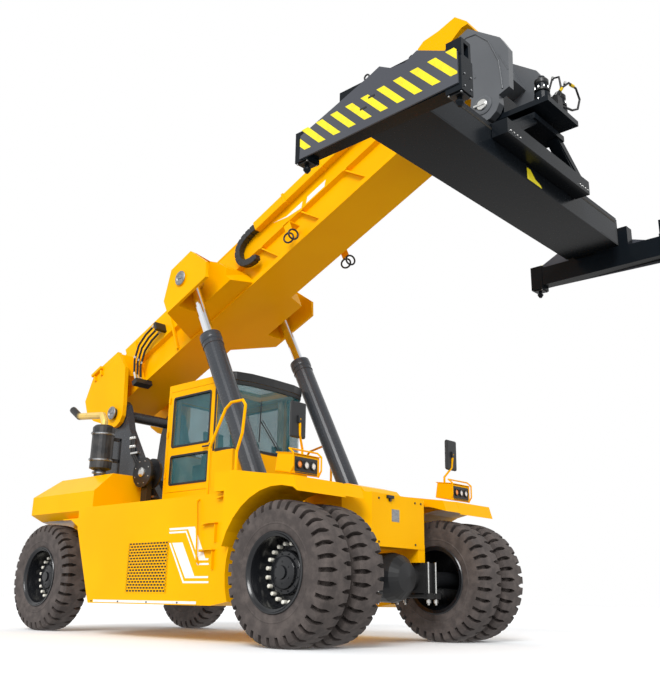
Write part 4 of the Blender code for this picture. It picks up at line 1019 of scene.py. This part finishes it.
# ---- lift cylinders ----
# Honed barrels in slate enamel with a bolted gland at the top, and hard-chromed rods that run through a
# black wiper ring.
chrome = plated("hard_chrome", (0.80, 0.82, 0.85), 0.08, 0.96)
FOOT = (-1.15, 1.35)
HEAD = (-5.95 + 3.05 * math.cos(BOOM_ANGLE) - 0.82 * math.sin(BOOM_ANGLE),
        3.88 + 3.05 * math.sin(BOOM_ANGLE) + 0.82 * math.cos(BOOM_ANGLE))
lean = math.atan2(FOOT[0] - HEAD[0], HEAD[1] - FOOT[1])
for side, word in SIDES:
    dress(f"lift_barrel_{word}", slate_paint)
    dress(f"lift_rod_{word}", chrome)
    upright = Matrix.Translation(here(FOOT[0], side * 1.07, FOOT[1])) @ Matrix.Rotation(-lean, 4, "Y")
    gland = [hooped((0, 0, 3.70), 0.181, 0.09, 0.004, 48), hooped((0, 0, 3.58), 0.170, 0.03, 0.010, 48),
             hooped((0, 0, 0.30), 0.170, 0.05, 0.010, 48)]
    for k in range(12):
        angle = 2 * math.pi * (k + 0.5) / 12
        foot = Vector((0.15 * math.cos(angle), 0.15 * math.sin(angle), 3.818))
        gland.append(bolt(foot, (0, 0, 0.014), 0.014, sides=8))
    ring = welded(gland)
    ring.matrix_world = upright @ ring.matrix_world
    tidy_up(f"barrel_gland_{word}", ring, slate_paint, f"lift_barrel_{word}")
    wiper_ring = hooped((0, 0, 3.818), 0.0925, 0.025, 0.030, 40)
    wiper_ring.matrix_world = upright @ wiper_ring.matrix_world
    tidy_up(f"rod_wiper_{word}", wiper_ring, seal_rubber, f"lift_barrel_{word}")


# ---- gooseneck ----
# The boom's head is a pair of thick slate plates round a box, edged with a welded rib, and its pin shows a
# bright end with a bolted keeper.
spreader_paint = gloss_paint("spreader_slate", (0.008, 0.011, 0.015), (0.005, 0.007, 0.009), 0, 0.24, 0.10)
neck_paint = gloss_paint("gooseneck_slate", (0.105, 0.112, 0.122), (0.080, 0.086, 0.095), 0, 0.3, 0.4)
dress("gooseneck", neck_paint)
for side, word in SIDES:
    rib = bent_bar([(8.80, side * 0.583, 1.10), (9.10, side * 0.583, 1.08), (9.24, side * 0.583, 1.00),
                    (9.34, side * 0.583, 0.72), (9.32, side * 0.583, 0.30), (9.17, side * 0.583, -0.15)], 0.012)
    rib.append(block((8.90, side * 0.583 - 0.004, 0.35), (8.93, side * 0.583 + 0.004, 0.55), 0.002))
    rib.append(block((9.36, side * 0.583 - 0.004, 0.05), (9.375, side * 0.583 + 0.004, 0.40), 0.002))
    boss = here(2.20, side * 0.579, 7.25)
    neck = on_boom(rib)
    boss_ring = spun([(0.0, 0), (0.145, 0), (0.145, side * 0.012), (0.12, side * 0.020), (0, side * 0.020)],
                     boss, 40)
    tidy_up(f"gooseneck_rib_{word}", [neck, boss_ring], neck_paint, "boom_inner")
    pin_end = [spun([(0, side * 0.018), (0.082, side * 0.018), (0.082, side * 0.036), (0.074, side * 0.042),
                     (0, side * 0.042)], boss, 40),
               block(boss + Vector((-0.13, side * 0.03, -0.016)), boss + Vector((0.06, side * 0.052, 0.016)))]
    tidy_up(f"head_pin_end_{word}", pin_end, bright_steel, "boom_inner")


# ---- spreader head and its motors ----
# The hanging head holds the slewing ring, turned by two hydraulic motors with flanged black covers. Short
# hoses with bright ends and coloured sleeves loop between them.
for node in ("head_yoke", "rotator_frame", "main_beam", "end_beam_right", "end_beam_left"):
    dress(node, spreader_paint)
dress("spreader_hoses", black_hose)
covers, motor_bolts = [], []
for y in (-0.24, 0.26):
    foot = here(2.94, y, 7.08)
    for height, radius, tall, thick in ((0.02, 0.110, 0.05, 0.022), (0.22, 0.086, 0.05, 0.020),
                                        (0.34, 0.086, 0.08, 0.012)):
        covers.append(hooped(foot + Vector((0, 0, height)), radius, tall, thick, 32))
    for k in range(8):
        angle = 2 * math.pi * k / 8
        for ring, height, length, radius in ((0.097, 0.265, 0.025, 0.010), (0.121, 0.065, 0.020, 0.009)):
            spot = foot + Vector((ring * math.cos(angle), ring * math.sin(angle), height))
            motor_bolts.append(bar(spot, spot + Vector((0, 0, length)), radius, 6))
tidy_up("motor_covers", covers, black_trim, "head")
for place in ((3.12, 0.10, 7.53), (2.98, 0.02, 7.63), (2.92, 0.02, 7.36), (3.04, -0.01, 7.33),
              (2.82, -0.02, 7.38)):
    motor_bolts.append(bar(here(*place), here(place[0] + 0.004, place[1] + 0.012, place[2] + 0.045), 0.022, 8))
tidy_up("motor_bolts", motor_bolts, bright_steel, "head")
sleeve_paint = gloss_paint("yellow_sleeve", (0.80, 0.55, 0.02), (0.62, 0.38, 0.02))
sleeves = [bar(here(3.175, 0.16, 7.535), here(3.18, 0.24, 7.545), 0.024, 10),
           bar(here(3.10, -0.015, 7.38), here(3.13, -0.010, 7.42), 0.023, 10)]
tidy_up("hose_sleeves", sleeves, sleeve_paint, "head")


# ---- spreader beam and its slewing frame ----
# A welded box beam with flanges along its upper edges slides in a frame on four raked legs, whose rails are
# closed by rows of bolts. A plain yellow mark is stuck on the beam's face.
BEAM_X = 2.20
trim, groove_shade_strips, rail_bolts, stiffeners = [], [], [], []
for end in (-1, 1):
    face = BEAM_X + end * 0.45
    trim.append(lump((face, -2.60, 6.50), (face - end * 0.09, 2.60, 6.522)))
    # a thin near-black strip along each face is painted shade for a groove, not a part of its own
    groove_shade_strips.append(lump((face, -2.55, 6.42), (face + end * 0.002, 2.55, 6.455), 0))
    for side in (-1, 1):
        trim.append(lump((face, side * 2.00, 6.07), (face + end * 0.002, side * 2.60, 6.09), 0))
        cap = BEAM_X + end * 0.42
        trim.append(lump((cap - 0.03, side * 2.60, 6.05), (cap + 0.03, side * 2.622, 6.50)))
        leg = [(side * 0.20, 6.90), (side * 0.37, 6.90), (side * 1.05, 6.47), (side * 0.88, 6.47)]
        leg_face = BEAM_X + end * 0.66 + min(end, 0) * 0.012
        stiffeners.append(slab([here(leg_face, y, z) for y, z in leg], (0.012, 0, 0), 0.004))
    face = BEAM_X + end * 0.69
    for y in (-1.08, -1.00, -0.92, -0.84, 0.84, 0.92, 1.00, 1.08):
        rail_bolts.append(bolt(here(face, y, 6.35), (end * 0.014, 0, 0), 0.013, 0.002))
        rail_bolts.append(bolt(here(face - end * 0.05, y, 6.51), (0, 0, 0.013), 0.011, 0.002))
tidy_up("beam_flanges", trim, spreader_paint, "beam")
tidy_up("beam_groove_shade", groove_shade_strips, painted_shade_black, "beam")
MARK = ((-0.26, 6.08), (0.14, 6.08), (0.10, 6.12), (-0.04, 6.15), (-0.16, 6.25), (-0.26, 6.25))
mark = slab([here(BEAM_X + 0.451, y, z) for y, z in MARK], (0.0015, 0, 0))
warning_yellow = mottled("warning_yellow_vinyl", 12, 4, (0.4, 0.75), (0.93, 0.78, 0.005), (0.80, 0.66, 0.01),
                         Roughness=0.4)
tidy_up("beam_mark", mark, warning_yellow, "beam")
tidy_up("frame_bolts", rail_bolts, bright_steel, "rotator")
tidy_up("leg_flanges", stiffeners, spreader_paint, "rotator")


# ---- end beams and their warning stripes ----
# Each end beam has a plate with slanted warning stripes of yellow vinyl, two small lifting eyes, and bolted
# housings for the twistlocks, which are forged steel.
plate_slate = gloss_paint("plate_slate", (0.078, 0.083, 0.098), (0.060, 0.064, 0.077), 0, 0.35, 0.2)
for node in ("striped_plate_right", "striped_plate_left"):
    dress(node, plate_slate)
STRIPES = 11
STRIPE_PITCH = 0.2405
STRIPE_WIDTH = 0.112
STRIPE_RAKE = 0.30


def clipped(outline, low, high):
    """The part of a flat outline between two heights of its first coordinate."""
    for limit, sign in ((low, 1), (high, -1)):
        kept = []
        for (a, b), (c, d) in zip(outline, outline[1:] + outline[:1]):
            inside, following = sign * (a - limit) >= 0, sign * (c - limit) >= 0
            if inside:
                kept.append((a, b))
            if inside != following:
                share = (limit - a) / (c - a)
                kept.append((limit, b + share * (d - b)))
        outline = kept
    return outline


def facing(x, side):
    """The left end beam is the right one turned half round, so its X runs the other way."""
    return x if side < 0 else 2 * BEAM_X - x


for side, word in SIDES:
    outer, middle = side * 3.0568, side * 2.9265
    stripes = []
    for number in range(STRIPES):
        top = 0.845 + STRIPE_PITCH * number
        line = [(top, 6.155 + 0.05 * (top - 1.1)), (top + STRIPE_WIDTH, 6.16 + 0.05 * (top - 1.1)),
                (top + STRIPE_WIDTH + STRIPE_RAKE, 5.862 + 0.033 * (top - 0.9)),
                (top + STRIPE_RAKE, 5.862 + 0.033 * (top - 0.9))]
        line = clipped(line, 1.065, 3.395)
        if len(line) > 2:
            place = [here(facing(x, side), outer, z) for x, z in line]
            stripes.append(slab(place, (0, side * 0.0015, 0)))
    tidy_up(f"warning_stripes_{word}", stripes, warning_yellow, f"end_beam_{word}")
    eyes, bolts = [], []
    for x, z in ((2.12, 6.47), (2.78, 6.42)):
        x = facing(x, side)
        eye = primitive("torus", major_radius=0.035, minor_radius=0.011, major_segments=20, minor_segments=8,
                        location=here(x, side * 3.03, z), rotation=(math.radians(90), 0, 0))
        bpy.ops.object.shade_smooth()
        eyes.append(eye)
    for x, z in ((2.215, 6.157), (2.09, 6.05)):
        x = facing(x, side)
        eyes.append(lump((x - 0.05, outer, z - 0.012), (x + 0.05, outer + side * 0.006, z + 0.012), 0.003))
    for end in (-1, 1):
        x = 2.20 + end * 1.1295
        for dx in (-0.08, 0.08):
            for dy in (-0.085, 0.085):
                spot = here(x + dx, middle + dy, 5.74)
                bolts.append(bolt(spot, (0, 0, -0.018), 0.014))
        face = x + end * 0.105
        for dy in (-0.06, 0.06):
            for z in (5.80, 5.95):
                spot = here(face, middle + dy, z)
                bolts.append(bolt(spot, (end * 0.012, 0, 0), 0.012, 0.002))
        eyes.append(lump((x - 0.085, middle - 0.085, 5.722), (x + 0.085, middle + 0.085, 5.742), 0.006))
    tidy_up(f"end_eyes_{word}", eyes, black_trim, f"end_beam_{word}")
    tidy_up(f"housing_bolts_{word}", bolts, grey_steel, f"end_beam_{word}")
